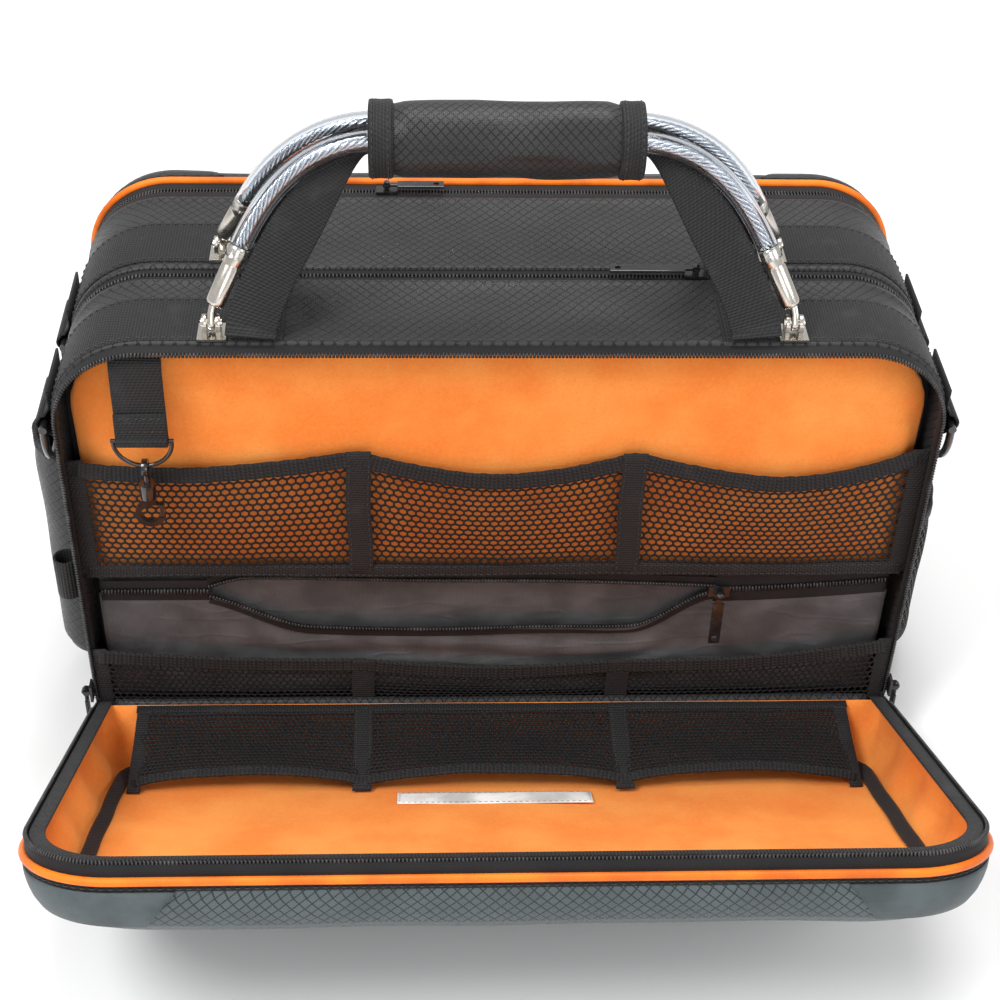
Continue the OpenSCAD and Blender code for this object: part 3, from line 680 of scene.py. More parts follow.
mat_shell = ripstop("ripstop_black", (0.028, 0.028, 0.029), (0.007, 0.007, 0.008))
mat_grip = ripstop("ripstop_grip", (0.024, 0.024, 0.025), (0.006, 0.006, 0.007), 4.5, 0.4)
mat_grey = ripstop("ripstop_grey", (0.070, 0.088, 0.094), (0.016, 0.020, 0.022))
mat_corner = cloth("grey_corner_cloth", (0.066, 0.083, 0.089), 0.55, 0.05)
mat_web = webbing("webbing_black", (0.014, 0.014, 0.015))
mat_velour = velour("lining_orange", ORANGE, SHADED_ORANGE)
mat_net = yarn("net_black", (0.010, 0.010, 0.011), 0.55, 1500.0)
mat_elastic = webbing("elastic_black", (0.013, 0.013, 0.014), 0.66, 2.2)
mat_tape = cloth("zip_tape_black", (0.009, 0.009, 0.010), 0.72, 0.04, 0.0, 1.3)
mat_coil = hard("zip_coil_black", (0.014, 0.014, 0.015), 0.34, 0.0, (0.05, 0.05, 0.052), 900.0)
mat_piping = cloth("piping_orange", (0.80, 0.155, 0.006), 0.42, 0.05, 0.0, 1.1, 0.14)
mat_nylon = cloth("nylon_grey", (0.085, 0.084, 0.088), 0.36, 0.08, 0.9, 0.7, 0.6)
mat_pad = cloth("divider_black", (0.016, 0.016, 0.017), 0.7, 0.05, 0.3, 1.0)
mat_felt = yarn("divider_felt", (0.018, 0.018, 0.019), 0.75, 700.0)
mat_board = hard("board_grey", (0.05, 0.05, 0.052), 0.7, 0.0, (0.08, 0.08, 0.08), 300.0, 0.2)
mat_label = cloth("label_white", (0.78, 0.78, 0.75), 0.6, 0.1, 0.2, 0.9, 0.1)
mat_thread = yarn("thread_black", (0.045, 0.045, 0.047), 0.55, 2500.0)
mat_thread_grey = yarn("thread_grey", (0.3, 0.3, 0.29), 0.6, 2500.0)
mat_nickel = hard("nickel", (0.62, 0.58, 0.52), 0.24, 1.0, (0.72, 0.69, 0.64), 500.0)
mat_steel = hard("cable_steel", (0.58, 0.60, 0.63), 0.28, 1.0, (0.7, 0.72, 0.75), 900.0)
mat_ring = hard("ring_black", (0.012, 0.012, 0.013), 0.2, 0.0, (0.035, 0.035, 0.036), 500.0, 0.05,
                Coat_Weight=0.5, Coat_Roughness=0.12)
mat_slider = hard("slider_black", (0.010, 0.010, 0.011), 0.24, 0.0, (0.03, 0.03, 0.03), 600.0, 0.06,
                  Coat_Weight=0.4, Coat_Roughness=0.1)
mat_hook = hard("hook_black", (0.010, 0.010, 0.011), 0.22, 0.0, (0.025, 0.025, 0.025), 800.0, 0.08,
                Coat_Weight=0.6, Coat_Roughness=0.1)
mat_sleeve = Paint("clear_sleeve", (0.93, 0.96, 1.0), 0.05, 0.0, Transmission_Weight=1.0, IOR=1.38)
mat_sleeve.bump(mat_sleeve.noise(240.0, 2.0), 0.15, 0.05)
mat_sleeve = mat_sleeve.mat


def paint(node, mat, edge=0.0):
    """Gives a carried-over CAD node its material, and rounds its edges."""
    ob = NODES[node]
    ob.data.materials.clear()
    ob.data.materials.append(mat)
    if edge:
        bevel(ob, edge)


# ---------- camera, floor and light ----------


def make_camera():
    """The photo's camera, from the fit of its angles and its place."""
    yaw, pitch, roll = 0.0561, 0.6894, 0.0329
    right = Vector((math.cos(yaw), -math.sin(yaw), 0))
    down = Vector((-math.sin(yaw) * math.sin(pitch), -math.cos(yaw) * math.sin(pitch), -math.cos(pitch)))
    ahead = Vector((math.sin(yaw) * math.cos(pitch), math.cos(yaw) * math.cos(pitch), -math.sin(pitch)))
    r = right * math.cos(roll) - down * math.sin(roll)
    d = right * math.sin(roll) + down * math.cos(roll)
    data = bpy.data.cameras.new("camera")
    data.lens, data.sensor_width, data.clip_start = 66.7, 36.0, 0.05
    ob = bpy.data.objects.new("camera", data)
    bpy.context.scene.collection.objects.link(ob)
    turn = Matrix((r, -d, -ahead)).transposed().to_4x4()
    ob.matrix_world = Matrix.Translation((-0.0401, -0.7836, 0.7513)) @ turn
    bpy.context.scene.camera = ob


def make_light(name, spot, aim, size, power):
    data = bpy.data.lights.new(name, "AREA")
    data.shape, data.size, data.energy = "DISK", size, power
    ob = bpy.data.objects.new(name, data)
    bpy.context.scene.collection.objects.link(ob)
    ob.location = spot
    ob.rotation_euler = (Vector(aim) - Vector(spot)).to_track_quat("-Z", "Y").to_euler()


make_camera()
make_light("key", (-0.9, -0.7, 1.7), (0, -0.05, 0.12), 0.8, 24)
make_light("fill", (1.3, -0.9, 1.1), (0, -0.05, 0.12), 1.0, 8)
make_light("top", (0.15, 0.45, 1.7), (0, 0, 0.2), 0.9, 16)
make_light("front", (0.1, -1.6, 0.7), (0, -0.1, 0.1), 0.8, 4)
world = bpy.data.worlds.new("studio")
world.use_nodes = True
world.node_tree.nodes["Background"].inputs[0].default_value = (1, 1, 1, 1)
world.node_tree.nodes["Background"].inputs[1].default_value = 0.62
bpy.context.scene.world = world
bpy.context.scene.view_settings.view_transform = "Standard"

floor_paint = Paint("floor_pale", (0.86, 0.86, 0.86), 0.9)
floor_paint.bump(floor_paint.noise(60.0), 0.02, 0.2)
FLOOR_HALF, FLOOR_Z = 6000, -0.2
corner_signs = ((-1, -1), (1, -1), (1, 1), (-1, 1))
floor_corners = [(x * FLOOR_HALF, y * FLOOR_HALF, FLOOR_Z) for x, y in corner_signs]
floor = build("floor", floor_corners, [(0, 1, 2, 3)], floor_paint.mat, None)


# ---------- body: gussets, base, rims ----------

COIL_PITCH = 1.7
FULL = side_s(3.0)
ZIP_LOW = side_s(110.0)


def gusset(name, node, y_rim, y_zip, y_join, seed):
    """Gusset fabric between a rim tape and the main zip, all the way round the bag."""
    stations = arch_run(-FULL, FULL, 5.0)
    way = 1.0 if y_zip > y_rim else -1.0
    rows = []
    for s in stations:
        k = smooth((abs(s) - ZIP_LOW + 6) / 12)
        end = y_zip + (y_join - y_zip) * k
        span = abs(end - y_rim)
        across = [-1.2, 0.0, 1.2, 2.6]
        across += list(np.linspace(4.5, span - 4.5, 11))
        across += [span - 2.6, span - 1.2, span, span + 0.8]
        row = []
        for t in across:
            y = y_rim + way * t
            band = 0.15 if abs(s) > 98 and (y < -24 or y > 0) else 1.0
            w = hump(t / span) ** 0.7
            o = (1.5 * ripple(s / 34.0, y / 15.0, seed) - 0.9) * w * band
            o += 0.35 * ripple(s / 9.0, y / 7.0, seed + 2) * w * band
            if abs(s) > TOP_HALF + CORNER_LEN:
                low_part = smooth((abs(s) - TOP_HALF - CORNER_LEN) / 60)
                o += 1.1 * ripple(s / 52.0, y / 26.0, seed + 5) * w * low_part
            edge = min(t, span - t)
            o += 0.55 * hump((edge + 1.2) / 4.5) if edge < 3.3 else 0.0
            if edge < 0:
                o -= 0.9
            x, z, _, _ = arch(s, min(o, 1.3))
            row.append((x, y, z))
        rows.append(row)
    v = [abs(r[1] - y_rim) for r in rows[len(rows) // 2]]
    ob = grid(name, rows, mat_shell, "root", u=stations + [stations[-1]], v=v + [v[-1]])
    thicken(ob, 1.6)
    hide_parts(node)
    return ob


gusset("gusset_front_fabric", "front_gusset", FRONT + 9, -13.0, -7.3, 0.3)
gusset("gusset_rear_fabric", "rear_gusset", REAR - 9, -1.0, -6.7, 2.2)


def base_fabric():
    """The base panel, turned up into a lip at the front and the rear."""
    lip = ((2.2, 18.6), (1.6, 20.2), (0.5, 20.4), (0.0, 19.4), (0.0, 14), (0.0, 8))
    profile = [(FRONT + y, z) for y, z in lip]
    for i in range(6):
        a = math.radians(180 + 90 * i / 5)
        profile.append((FRONT + 6 + 6 * math.cos(a), 6.4 + 6 * math.sin(a)))
    middle = [(y, 0.4) for y in np.linspace(FRONT + 14, REAR - 14, 16)]
    mirrored = [(-y, z) for y, z in profile][::-1]
    ring = profile + middle + mirrored
    xs = [-HALF, -HALF + 0.8, -HALF + 2.2, -HALF + 4.5] + list(np.linspace(-HALF + 9, HALF - 9, 54))
    xs += [HALF - 4.5, HALF - 2.2, HALF - 0.8, HALF]
    rows = []
    for x in xs:
        gap = HALF - abs(x)
        lift = 4.5 - math.sqrt(max(0.0, 4.5 ** 2 - max(0.0, 4.5 - gap) ** 2))
        row = []
        for y, z in ring:
            inner = smooth((40 - abs(z - 0.4) * 6) / 40)
            wave = 0.25 * ripple(x / 40, y / 30) if z > 1 else 0.0
            row.append((x, y + (wave if z > 6 else 0), max(z, 0.4) + lift * inner * (1 if z < 10 else 0.1)))
        rows.append(row)
    ob = grid("base_fabric", rows, mat_shell, "root")
    thicken(ob, 1.4, 0.0)
    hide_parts("base_panel")


def base_corner_posts():
    """Four short posts at the body's low corners, up to the height of the hinges."""

    def squarish(a):
        return math.copysign(abs(a) ** 0.45, a)

    parts = []
    for sx in (-1, 1):
        for y0, y1 in ((FRONT, FRONT + 9.4), (REAR - 9.4, REAR)):
            verts, faces = [], []
            levels = [(2.6, 0.0), (3.4, 0.3), (10, 0.45), (22, 0.4), (27.2, 0.2), (27.9, -0.5)]
            for z, grow in levels:
                for a in range(12):
                    t = math.radians(30 * a)
                    x = sx * (HALF - 1.3) + (1.2 + grow) * squarish(math.cos(t))
                    y = (y0 + y1) / 2 + ((y1 - y0) / 2 - 0.2) * squarish(math.sin(t))
                    verts.append((x, y, z))
            faces += ring_faces(len(levels), 12)
            faces.append(tuple(range(12))[::-1])
            faces.append(tuple(range(60, 72)))
            parts.append((verts, faces))
    join("base_corner_posts", parts, mat_pad, "root")


base_fabric()
base_corner_posts()
paint("base_board", mat_board, 0.8)

RIM_S = side_s(HINGE + 0.4)
rim_run = arch_run(-RIM_S, RIM_S, 6.0)


def zip_tape(name, stations, section):
    ob = arch_sweep(name, stations, section, mat_tape, "root")


zip_tape("rim_tape_front", rim_run, rounded(-1.3, -0.1, FRONT + 1.6, FRONT + 9.6, 0.45))
zip_tape("rim_tape_rear", rim_run, rounded(-1.3, -0.1, REAR - 9.6, REAR - 1.6, 0.45))
zip_run = arch_run(-ZIP_LOW, ZIP_LOW, 6.0)
zip_tape("main_zip_tape_front", zip_run, rounded(-1.2, -0.15, -13.6, -8.3, 0.4))
zip_tape("main_zip_tape_rear", zip_run, rounded(-1.2, -0.15, -5.7, -0.4, 0.4))
zip_tape("main_zip_core", zip_run, rounded(-1.9, -1.0, -8.6, -5.4, 0.3))

arch_teeth("rim_coil_front", -RIM_S, RIM_S, -1.5, FRONT + 0.95, 1.9, 2.4, COIL_PITCH, mat_coil, "root")
arch_teeth("rim_coil_rear", -RIM_S, RIM_S, -1.5, REAR - 0.95, 1.9, 2.4, COIL_PITCH, mat_coil, "root")
main_coil = arch_teeth("main_zip_coil", -ZIP_LOW, ZIP_LOW, -0.85, -7.0, 3.3, 2.0, 1.85,
                       mat_coil, "root", swing=0.22)


def arch_thread(name, spots, height, length, gap):
    """Stitches over the body's outline, through (distance, depth) spots at a height above it."""
    path, normal = [], []
    for s, y in spots:
        x, z, nx, nz = arch(s, height)
        path.append((x, y, z))
        normal.append((nx, 0, nz))
    stitches(name, path, normal, mat_thread, "root", length, gap, 0.24, 0.0)


for row, y in enumerate((FRONT + 11.6, -15.2, 1.2, REAR - 11.6)):
    low = FULL - 4 if abs(y) > 50 else ZIP_LOW - 2
    arch_thread("gusset_stitch_%d" % row, [(s, y) for s in arch_run(-low, low, 4.0)], 0.45, 2.6, 1.4)


# ---------- front wall: padding, nets and pouch ----------

DIVIDER_Y = box("front_divider")[0][1]
NET_LOW = 116.0
NET_HALF = box("net_pockets")[1][0]
TAPE_XS = (-70.5, 66.5)


def arch_slab(name, inset, z_low, y0, y1, mat, body):
    """Closed slab in the body's outline, rounded at its edge, from z_low up."""
    low = side_s(z_low)
    edge = [arch(s, -inset) for s in arch_run(-low, low, 9.0)]
    edge = [(x, z) for x, z, _, _ in edge]
    bottom = [(x, edge[-1][1]) for x in np.linspace(edge[-1][0], edge[0][0], 40)[1:-1]]
    ring = np.array(edge + bottom)
    centre = np.array((0.0, (z_low + TOP) / 2))
    rows = []
    mid, half = (y0 + y1) / 2, (y1 - y0) / 2
    face = [(0.0, -1), (0.3, -1), (0.6, -1), (0.85, -1), (0.97, -0.95), (1.0, -0.5)]
    for grow, side in face + [(a, -b) for a, b in face[::-1]]:
        row = []
        for p in ring:
            x, z = centre + (p - centre) * grow
            row.append((x, mid + half * side, z))
        rows.append(row)
    return grid(name, rows, mat, body, round_v=True)


wall_pad = arch_slab("front_wall_pad", 3.2, 99.0, DIVIDER_Y - 2.6, DIVIDER_Y + 5.0, mat_velour, "root")
inflate(wall_pad, 4.5, 4.0, 3.2)
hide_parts("upper_lining")

divider = arch_slab("front_divider_panel", 3.0, 3.4, DIVIDER_Y + 5.3, DIVIDER_Y + 8.0, mat_pad, "root")
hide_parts("front_divider")

rear_pad = arch_slab("rear_divider_pad", 4.5, 6.5, 51.2, 56.8, mat_felt, "root")
inflate(rear_pad, 5.0, 3.0, 1.6)
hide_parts("rear_divider")


def upper_edge(x):
    """Height of the upper nets' elastic edge, which sags between the divider tapes."""
    if x < TAPE_XS[0]:
        t = max(0.0, (x + NET_HALF) / (TAPE_XS[0] + NET_HALF))
        return 183.0 + 6.5 * t - 5.0 * hump(t ** 0.8)
    if x < TAPE_XS[1]:
        t = (x - TAPE_XS[0]) / (TAPE_XS[1] - TAPE_XS[0])
        return 189.5 - 1.5 * t - 12.5 * hump(t)
    t = (x - TAPE_XS[1]) / (NET_HALF - TAPE_XS[1])
    return 188.0 + 1.0 * t - 14.5 * hump(t ** 1.15)


def pocket_share(x, edges=(-NET_HALF, TAPE_XS[0], TAPE_XS[1], NET_HALF)):
    for a, b in zip(edges[:-1], edges[1:]):
        if x <= b:
            return hump((x - a) / (b - a)) ** 0.6
    return 0.0


def upper_net_point(u, v):
    """v is 0 at the bottom and 1 at the elastic edge."""
    z = NET_LOW + (upper_edge(u) - 8.0 - NET_LOW) * v
    bulge = pocket_share(u) * (2.2 * hump(0.25 + 0.6 * v) + 0.9 * v) + 0.35 * ripple(u / 13.0, v * 3.0)
    return u, DIVIDER_Y - 9.4 - bulge, z


span = 62.0
upper_net = net("upper_net", -NET_HALF, NET_HALF, 0.0, span, 4.4, 0.76,
                lambda u, v: upper_net_point(u, v / span), mat_net, "root", 0.7)


def lower_edge(x):
    """Height of the lower nets' elastic edge."""
    if x < TAPE_XS[0]:
        t = (x + NET_HALF) / (TAPE_XS[0] + NET_HALF)
        return 62.0 - 7.0 * t - 2.0 * hump(t)
    if x < TAPE_XS[1]:
        t = (x - TAPE_XS[0]) / (TAPE_XS[1] - TAPE_XS[0])
        return 55.0 - 1.5 * t - 5.0 * hump(t)
    t = (x - TAPE_XS[1]) / (NET_HALF - TAPE_XS[1])
    return 53.5 + 13.0 * t ** 2.2 - 1.0 * hump(t)


LOW_NET_FOOT = 22.5


def lower_net_point(u, v):
    z = LOW_NET_FOOT + (lower_edge(u) - 8.0 - LOW_NET_FOOT) * v
    bulge = pocket_share(u) * (0.5 * hump(v) + 0.2 * v) + 0.2 * ripple(u / 12.0, v * 3.0)
    return u, FRONT + 1.9 - bulge, z


low_span = 30.0
lower_net = net("lower_net", -NET_HALF, NET_HALF, 0.0, low_span, 3.6, 0.78,
                lambda u, v: lower_net_point(u, v / low_span), mat_net, "root", 0.6)
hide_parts("net_pockets")


def elastic(name, at, width, up):
    """Ribbed elastic strip along X; at(x) is the middle of its width."""
    xs = np.linspace(-NET_HALF - 3, NET_HALF + 3, 130)
    return sweep(name, [at(x) for x in xs], flat_section(width, 1.5, 4, 4, 0.35), mat_elastic, "root", up)


def upper_binding(x):
    q = upper_net_point(x, 1.0)
    return x, q[1] - 0.5 - 0.25 * math.sin(x * 0.9), q[2] + 4.0 + 0.15 * math.sin(x * 1.4)


def lower_binding(x):
    q = lower_net_point(x, 1.0)
    return x, q[1] - 0.4 - 0.15 * math.sin(x * 0.9), q[2] + 4.0


edge_a = elastic("upper_net_elastic", upper_binding, 9.0, (0, -1, 0.12))
edge_b = elastic("lower_net_elastic", lower_binding, 8.6, (0, -1, 0.1))
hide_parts("net_bindings")


def strip(name, path, width, thick, mat, body, up, widths=None, sew=None):
    """Flat tape along a path, with a row of stitches down each edge if sew is a thread."""
    ob = sweep(name, path, flat_section(width, thick, 4), mat, body, up, widths)
    if sew:
        p = np.asarray(path, float)
        f = frames(p, up)
        tops = np.array([top for _, _, top in f])
        for k, side in enumerate((-1, 1)):
            line = []
            for point, (_, across, top) in zip(p, f):
                line.append(point + across * side * (width / 2 - 1.5) + top * (thick / 2 + 0.05))
            stitches(name + "_thread_%d" % k, line, tops, sew, body, 2.2, 1.2, 0.2, 0.0)
    return ob


for k, x in enumerate(TAPE_XS):
    top = upper_edge(x) + 0.8
    path = []
    for z in np.linspace(111.5, top, 18):
        path.append((x + 0.4 * math.sin(z / 9.0), DIVIDER_Y - 11.0 - 0.5 * hump((z - 112) / 78), z))
    strip("upper_net_tape_%d" % k, path, 12.5, 1.0, mat_web, "root", (0, -1, 0), None, mat_thread)
    heights = np.linspace(20.5, lower_edge(x) + 0.5, 12)
    path = [(x + 0.3 * math.sin(z / 7.0), FRONT + 0.9, z) for z in heights]
    strip("lower_net_tape_%d" % k, path, 12.0, 0.8, mat_web, "root", (0, -1, 0))
for side, hand in SIDES:
    heights = np.linspace(110.5, upper_edge(side * NET_HALF) + 1, 14)
    path = [(side * (NET_HALF + 2.2), DIVIDER_Y - 9.8, z) for z in heights]
    ob = strip("upper_net_end_" + hand, path, 9.0, 1.2, mat_web, "root", (0.0, -1, 0))
    if side < 0:
        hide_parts("net_tapes")
    heights = np.linspace(20.5, lower_edge(side * NET_HALF) + 1, 12)
    path = [(side * (NET_HALF + 2.4), FRONT + 1.9, z) for z in heights]
    strip("lower_net_end_" + hand, path, 8.0, 1.0, mat_web, "root", (0.0, -1, 0))
path = []
for x in np.linspace(-NET_HALF - 4, NET_HALF + 4, 90):
    path.append((x, DIVIDER_Y - 10.4 + 0.15 * math.sin(x / 7), 112.6 + 0.5 * math.sin(x / 31)))
strip("upper_net_foot", path, 8.0, 1.3, mat_web, "root", (0, -1, 0.1), None, mat_thread)
path = [(x, FRONT + 1.6, 22.4) for x in np.linspace(-NET_HALF - 4, NET_HALF + 4, 60)]
strip("lower_net_foot", path, 4.0, 1.0, mat_web, "root", (0, -1, 0))

ZIP_X0, ZIP_X1, ZIP_X2 = -150.0, box("pocket_slider")[0][0] + 5.5, 205.0


PANEL_FOOT, PANEL_TOP, GAPE, ZIP_Z = 21.5, 95.0, 22.0, 97.0


def gape_up(x):
    """Height of the open zip's upper coil."""
    t = (x - ZIP_X0) / (ZIP_X1 - ZIP_X0)
    lift = 8.0 * smooth(t / 0.12 + 0.3) * (1 - np.clip(t, 0, 1)) ** 0.6
    return 98.4 + lift + 0.5 * math.sin(x / 27.0) * hump(t)


def gape_low(x):
    """Height of the open zip's lower coil."""
    t = (x - ZIP_X0) / (ZIP_X1 - ZIP_X0)
    drop = GAPE * smooth((t + 0.04) / 0.24) * smooth((1 - t) / 0.17)
    return PANEL_TOP - drop + 0.9 * math.sin(x / 23.0) * hump(t)


def panel_top(x):
    """Top edge of the pouch panel, with how far it stands forward."""
    if x <= ZIP_X0 or x >= ZIP_X1:
        return PANEL_TOP, 0.0
    t = (x - ZIP_X0) / (ZIP_X1 - ZIP_X0)
    return gape_low(x), 3.6 * smooth(t / 0.3) * smooth((1 - t) / 0.25)


def pouch():
    """Gathered front panel and stretched back of the zipped pouch."""
    rows = []
    for x in np.linspace(-NET_HALF, NET_HALF, 150):
        top, out = panel_top(x)
        slack = (PANEL_TOP - top) / GAPE
        row = []
        for v in np.linspace(0, 1, 34):
            z = PANEL_FOOT + (top - PANEL_FOOT) * v
            y = DIVIDER_Y - 7.9 - out * smooth(v * 1.3)
            fold = 1.5 * math.sin(v * 19.0 + 1.6 * math.sin(x / 33.0)) * slack * hump(0.15 + 0.8 * v)
            y -= fold * 0.7 + 0.5 * ripple(x / 15.0, v * 4.0, 3.0) * hump(v)
            row.append((x, max(min(y, DIVIDER_Y - 7.2), FRONT + 3.4), z))
        rows.append(row)
    ob = thicken(grid("pouch_panel_fabric", rows, mat_nylon, "root"), 0.8)
    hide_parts("pouch_panel")
    rows = []
    for x in np.linspace(-NET_HALF, NET_HALF, 90):
        heights = np.linspace(24, 109.5, 26)
        rows.append([(x, DIVIDER_Y - 2.8 - 0.5 * ripple(x / 22.0, z / 18.0, 1.0), z) for z in heights])
    back = thicken(grid("pouch_back_fabric", rows, mat_nylon, "root"), 0.8)


pouch()


def pocket_zip():
    """The pouch's zip: open to the left of its slider, closed beyond it and at the far left."""
    open_xs = np.linspace(ZIP_X0, ZIP_X1, 110)
    spots_up, spots_low = [], []
    for track, path, spots in (
        ("up", [(x, DIVIDER_Y - 8.6, gape_up(x)) for x in open_xs], spots_up),
        ("low", [(x, DIVIDER_Y - 8.6 - panel_top(x)[1], gape_low(x)) for x in open_xs], spots_low),
    ):
        p = np.array(path)
        run = run_lengths(p)
        for d in np.arange(0.5, run[-1], COIL_PITCH):
            c = np.array([np.interp(d, run, p[:, j]) for j in range(3)])
            e = np.array([np.interp(d + 0.5, run, p[:, j]) for j in range(3)])
            along = unit(e - c)
            out = unit(np.cross(along, (0, 0.25, 1.0)))
            across = unit(np.cross(out, along))
            spots.append((c, across, -out if out[1] > 0 else out, along))
        sign = 1 if track == "up" else -1
        mid = [(x, y + 0.6, z + sign * 2.9) for x, y, z in path]
        ob = strip("pocket_zip_tape_" + track, mid, 5.2, 0.8, mat_tape, "root", (0, -1, -0.15 * sign))
        if track == "up":
            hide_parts("body_zip_tapes")
    teeth("pocket_zip_coil_up", spots_up, 2.0, 1.9, 1.45, mat_coil, "root")
    ob = teeth("pocket_zip_coil_low", spots_low, 2.0, 1.9, 1.45, mat_coil, "root")
    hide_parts("body_zip_coils")
    closed = []
    closed_xs = [*np.arange(ZIP_X1 + 1, ZIP_X2, COIL_PITCH), *np.arange(-ZIP_X2, ZIP_X0 + 1, COIL_PITCH)]
    for i, x in enumerate(closed_xs):
        t = max(0.0, (x - ZIP_X1) / (ZIP_X2 - ZIP_X1))
        shift = 0.2 if i % 2 else -0.2
        at = np.array((x, DIVIDER_Y - 8.9, ZIP_Z + shift + 6.0 * t ** 1.6))
        closed.append((at, np.array((0, 0, 1.0)), np.array((0, -1.0, 0)), np.array((1.0, 0, 0))))
    teeth("pocket_zip_coil_closed", closed, 3.4, 1.9, 1.45, mat_coil, "root")
    for sign, level in ((-1, "low"), (1, "up")):
        path = []
        for x in np.linspace(ZIP_X1 - 2, ZIP_X2 + 1, 30):
            t = max(0.0, (x - ZIP_X1) / (ZIP_X2 - ZIP_X1))
            path.append((x, DIVIDER_Y - 8.2, ZIP_Z + 6.0 * t ** 1.6 + sign * 5.2))
        strip("pocket_zip_end_tape_" + level, path, 8.4, 0.8, mat_tape, "root", (0, -1, 0))
        path = [(x, DIVIDER_Y - 8.2, ZIP_Z + sign * 3.9) for x in np.linspace(-ZIP_X2 - 1, ZIP_X0 + 2, 16)]
        strip("pocket_zip_far_tape_" + level, path, 5.8, 0.8, mat_tape, "root", (0, -1, 0))


pocket_zip()

# ---------- webbing on the body ----------

BAND = 37.0
for row, y0 in BAND_ROWS:
    for side, hand in SIDES:
        end = side_s(208.0)
        stations = arch_run(103.5, end, 4.0)
        stations = [side * s for s in stations]
        section = rounded(0.15, 1.75, y0 + 0.2, y0 + BAND - 0.2, 0.7, 4)
        ob = arch_sweep("webbing_band_%s_%s" % (row, hand), stations, section, mat_web, "root")
        if y0 < 0 and side < 0:
            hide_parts("webbing_bands")
        for k, y in enumerate((y0 + 2.2, y0 + BAND - 2.2)):
            arch_thread("band_thread_%s_%s_%d" % (row, hand, k), [(s, y) for s in stations], 1.8, 2.8, 1.3)
        # cross stitching where the band's inner end is sewn down, and above the ring
        for tag, s0, s1 in (("top", 106.0, 126.0), ("ring", end - 22.0, end - 3.0)):
            near, far = 3.0, BAND - 3.0
            lines = (
                ((s0, near), (s1, far)),
                ((s0, far), (s1, near)),
                ((s0, near), (s0, far)),
                ((s1, near), (s1, far)),
            )
            for k, (a, b) in enumerate(lines):
                spots = []
                for t in np.linspace(0, 1, 12):
                    spots.append((side * (a[0] + (b[0] - a[0]) * t), y0 + a[1] + (b[1] - a[1]) * t))
                arch_thread("box_thread_%s_%s_%s_%d" % (row, hand, tag, k), spots, 1.8, 2.4, 1.2)

RING_X, RING_Z = HALF + 5.8, 206.0


def ring_tab(name, side, y0):
    """Webbing that wraps a strap ring's bar, with one end above it and one below."""
    path = [(side * (HALF + 2.4), z) for z in (226.0, 221.0, 216.0)]
    for a in np.linspace(95, -60, 12):
        t = math.radians(a)
        z = RING_Z + 3.85 * math.sin(t) + (1.2 if a > 60 else 0)
        path.append((side * (RING_X + 3.85 * math.cos(t)), z))
    tail = ((RING_X - 2.2, 200.6), (HALF + 1.2, 198.6), (HALF + 0.9, 192.0), (HALF + 0.9, 186.0))
    path += [(side * x, z) for x, z in tail]
    pts = [(x, y0 + BAND / 2, z) for x, z in path]
    ups = strip_ups(pts, (0, 1.0, 0)) * side
    if ups[0][0] * side < 0:
        ups = -ups
    return strip(name, pts, 36.4, 1.4, mat_web, "root", ups)


for row, y0 in BAND_ROWS:
    for side, hand in SIDES:
        ob = ring_tab("ring_tab_%s_%s" % (row, hand), side, y0)
        if y0 < 0 and side < 0:
            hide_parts("webbing_tabs")

turn = np.linspace(0, 2 * math.pi, 29)[:-1]
circle = [(-HALF - 6.4 + 5.7 * math.cos(a), -64 + 5.7 * math.sin(a), 108.5) for a in turn]
ups = np.array([(math.cos(a), math.sin(a), 0.0) for a in turn])
sweep("keeper_loop_webbing", circle, flat_section(24.6, 1.35, 4), mat_web, "root", ups, None, True)

paint("handle_anchors", mat_nickel, 0.35)
for row, _ in BAND_ROWS:
    for _, hand in SIDES:
        paint("d_ring_%s_%s" % (row, hand), mat_ring)
paint("key_d_ring", mat_hook)
for n in ("hook_eye", "snap_hook", "hook_gate"):
    paint(n, mat_hook, 0.35)
for n in ("main", "rear", "pocket", "front_left", "front_right"):
    paint(n + "_slider", mat_slider, 0.4)
    paint(n + "_pull", mat_slider, 0.35)

# ---------- key strap ----------

ring_low, ring_high = box("key_d_ring")
key_x = float((ring_low[0] + ring_high[0]) / 2)
key_y = ring_low[1] + 1.1
hanging = ((4.6, 249.2), (3.7, 243), (2.4, 232), (1.1, 221), (0.7, 212))
path = [(key_x + 0.2 * math.sin(z / 8), FRONT + y, z) for y, z in hanging]
loop = []
for a in np.linspace(80, -250, 18):
    t = math.radians(a)
    loop.append((key_x, key_y + 2.7 * math.cos(t), 204.0 + 2.7 * math.sin(t)))
front_leg = [(key_x, key_y - 1.2, 208.6), (key_x, key_y - 0.6, 213.5), (key_x, key_y + 0.1, 219.5)]
whole = path + [(key_x, key_y + 1.9, 207.4)] + loop[1:] + front_leg
ob = strip("key_strap_webbing", whole, 25.0, 1.2, mat_web, "root", strip_ups(whole, (1.0, 0, 0)))
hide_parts("key_strap")
for k, z in enumerate((210.5, 217.5)):
    line = [(x, key_y - 1.35 + (z - 210) * 0.09, z) for x in np.linspace(key_x - 11, key_x + 11, 12)]
    stitches("key_strap_thread_%d" % k, line, (0, -1, 0), mat_thread, "root", 2.4, 1.2, 0.24, 0.0)

# ---------- side pockets ----------


def pocket_ring(side, cy, span, out, a, grow=0.0):
    """Point of a side pocket's outline at angle a (0..180 degrees), pushed out by grow."""
    t = math.radians(a)
    x = side * (HALF + 0.4 + (out + grow) * math.sin(t) ** 0.85)
    return np.array((x, cy - (span / 2 + grow * 0.5) * math.cos(t), 0.0))


SLEEVE_Y = -18.0
SLEEVE = (-1, SLEEVE_Y, 50.0, 23.2)


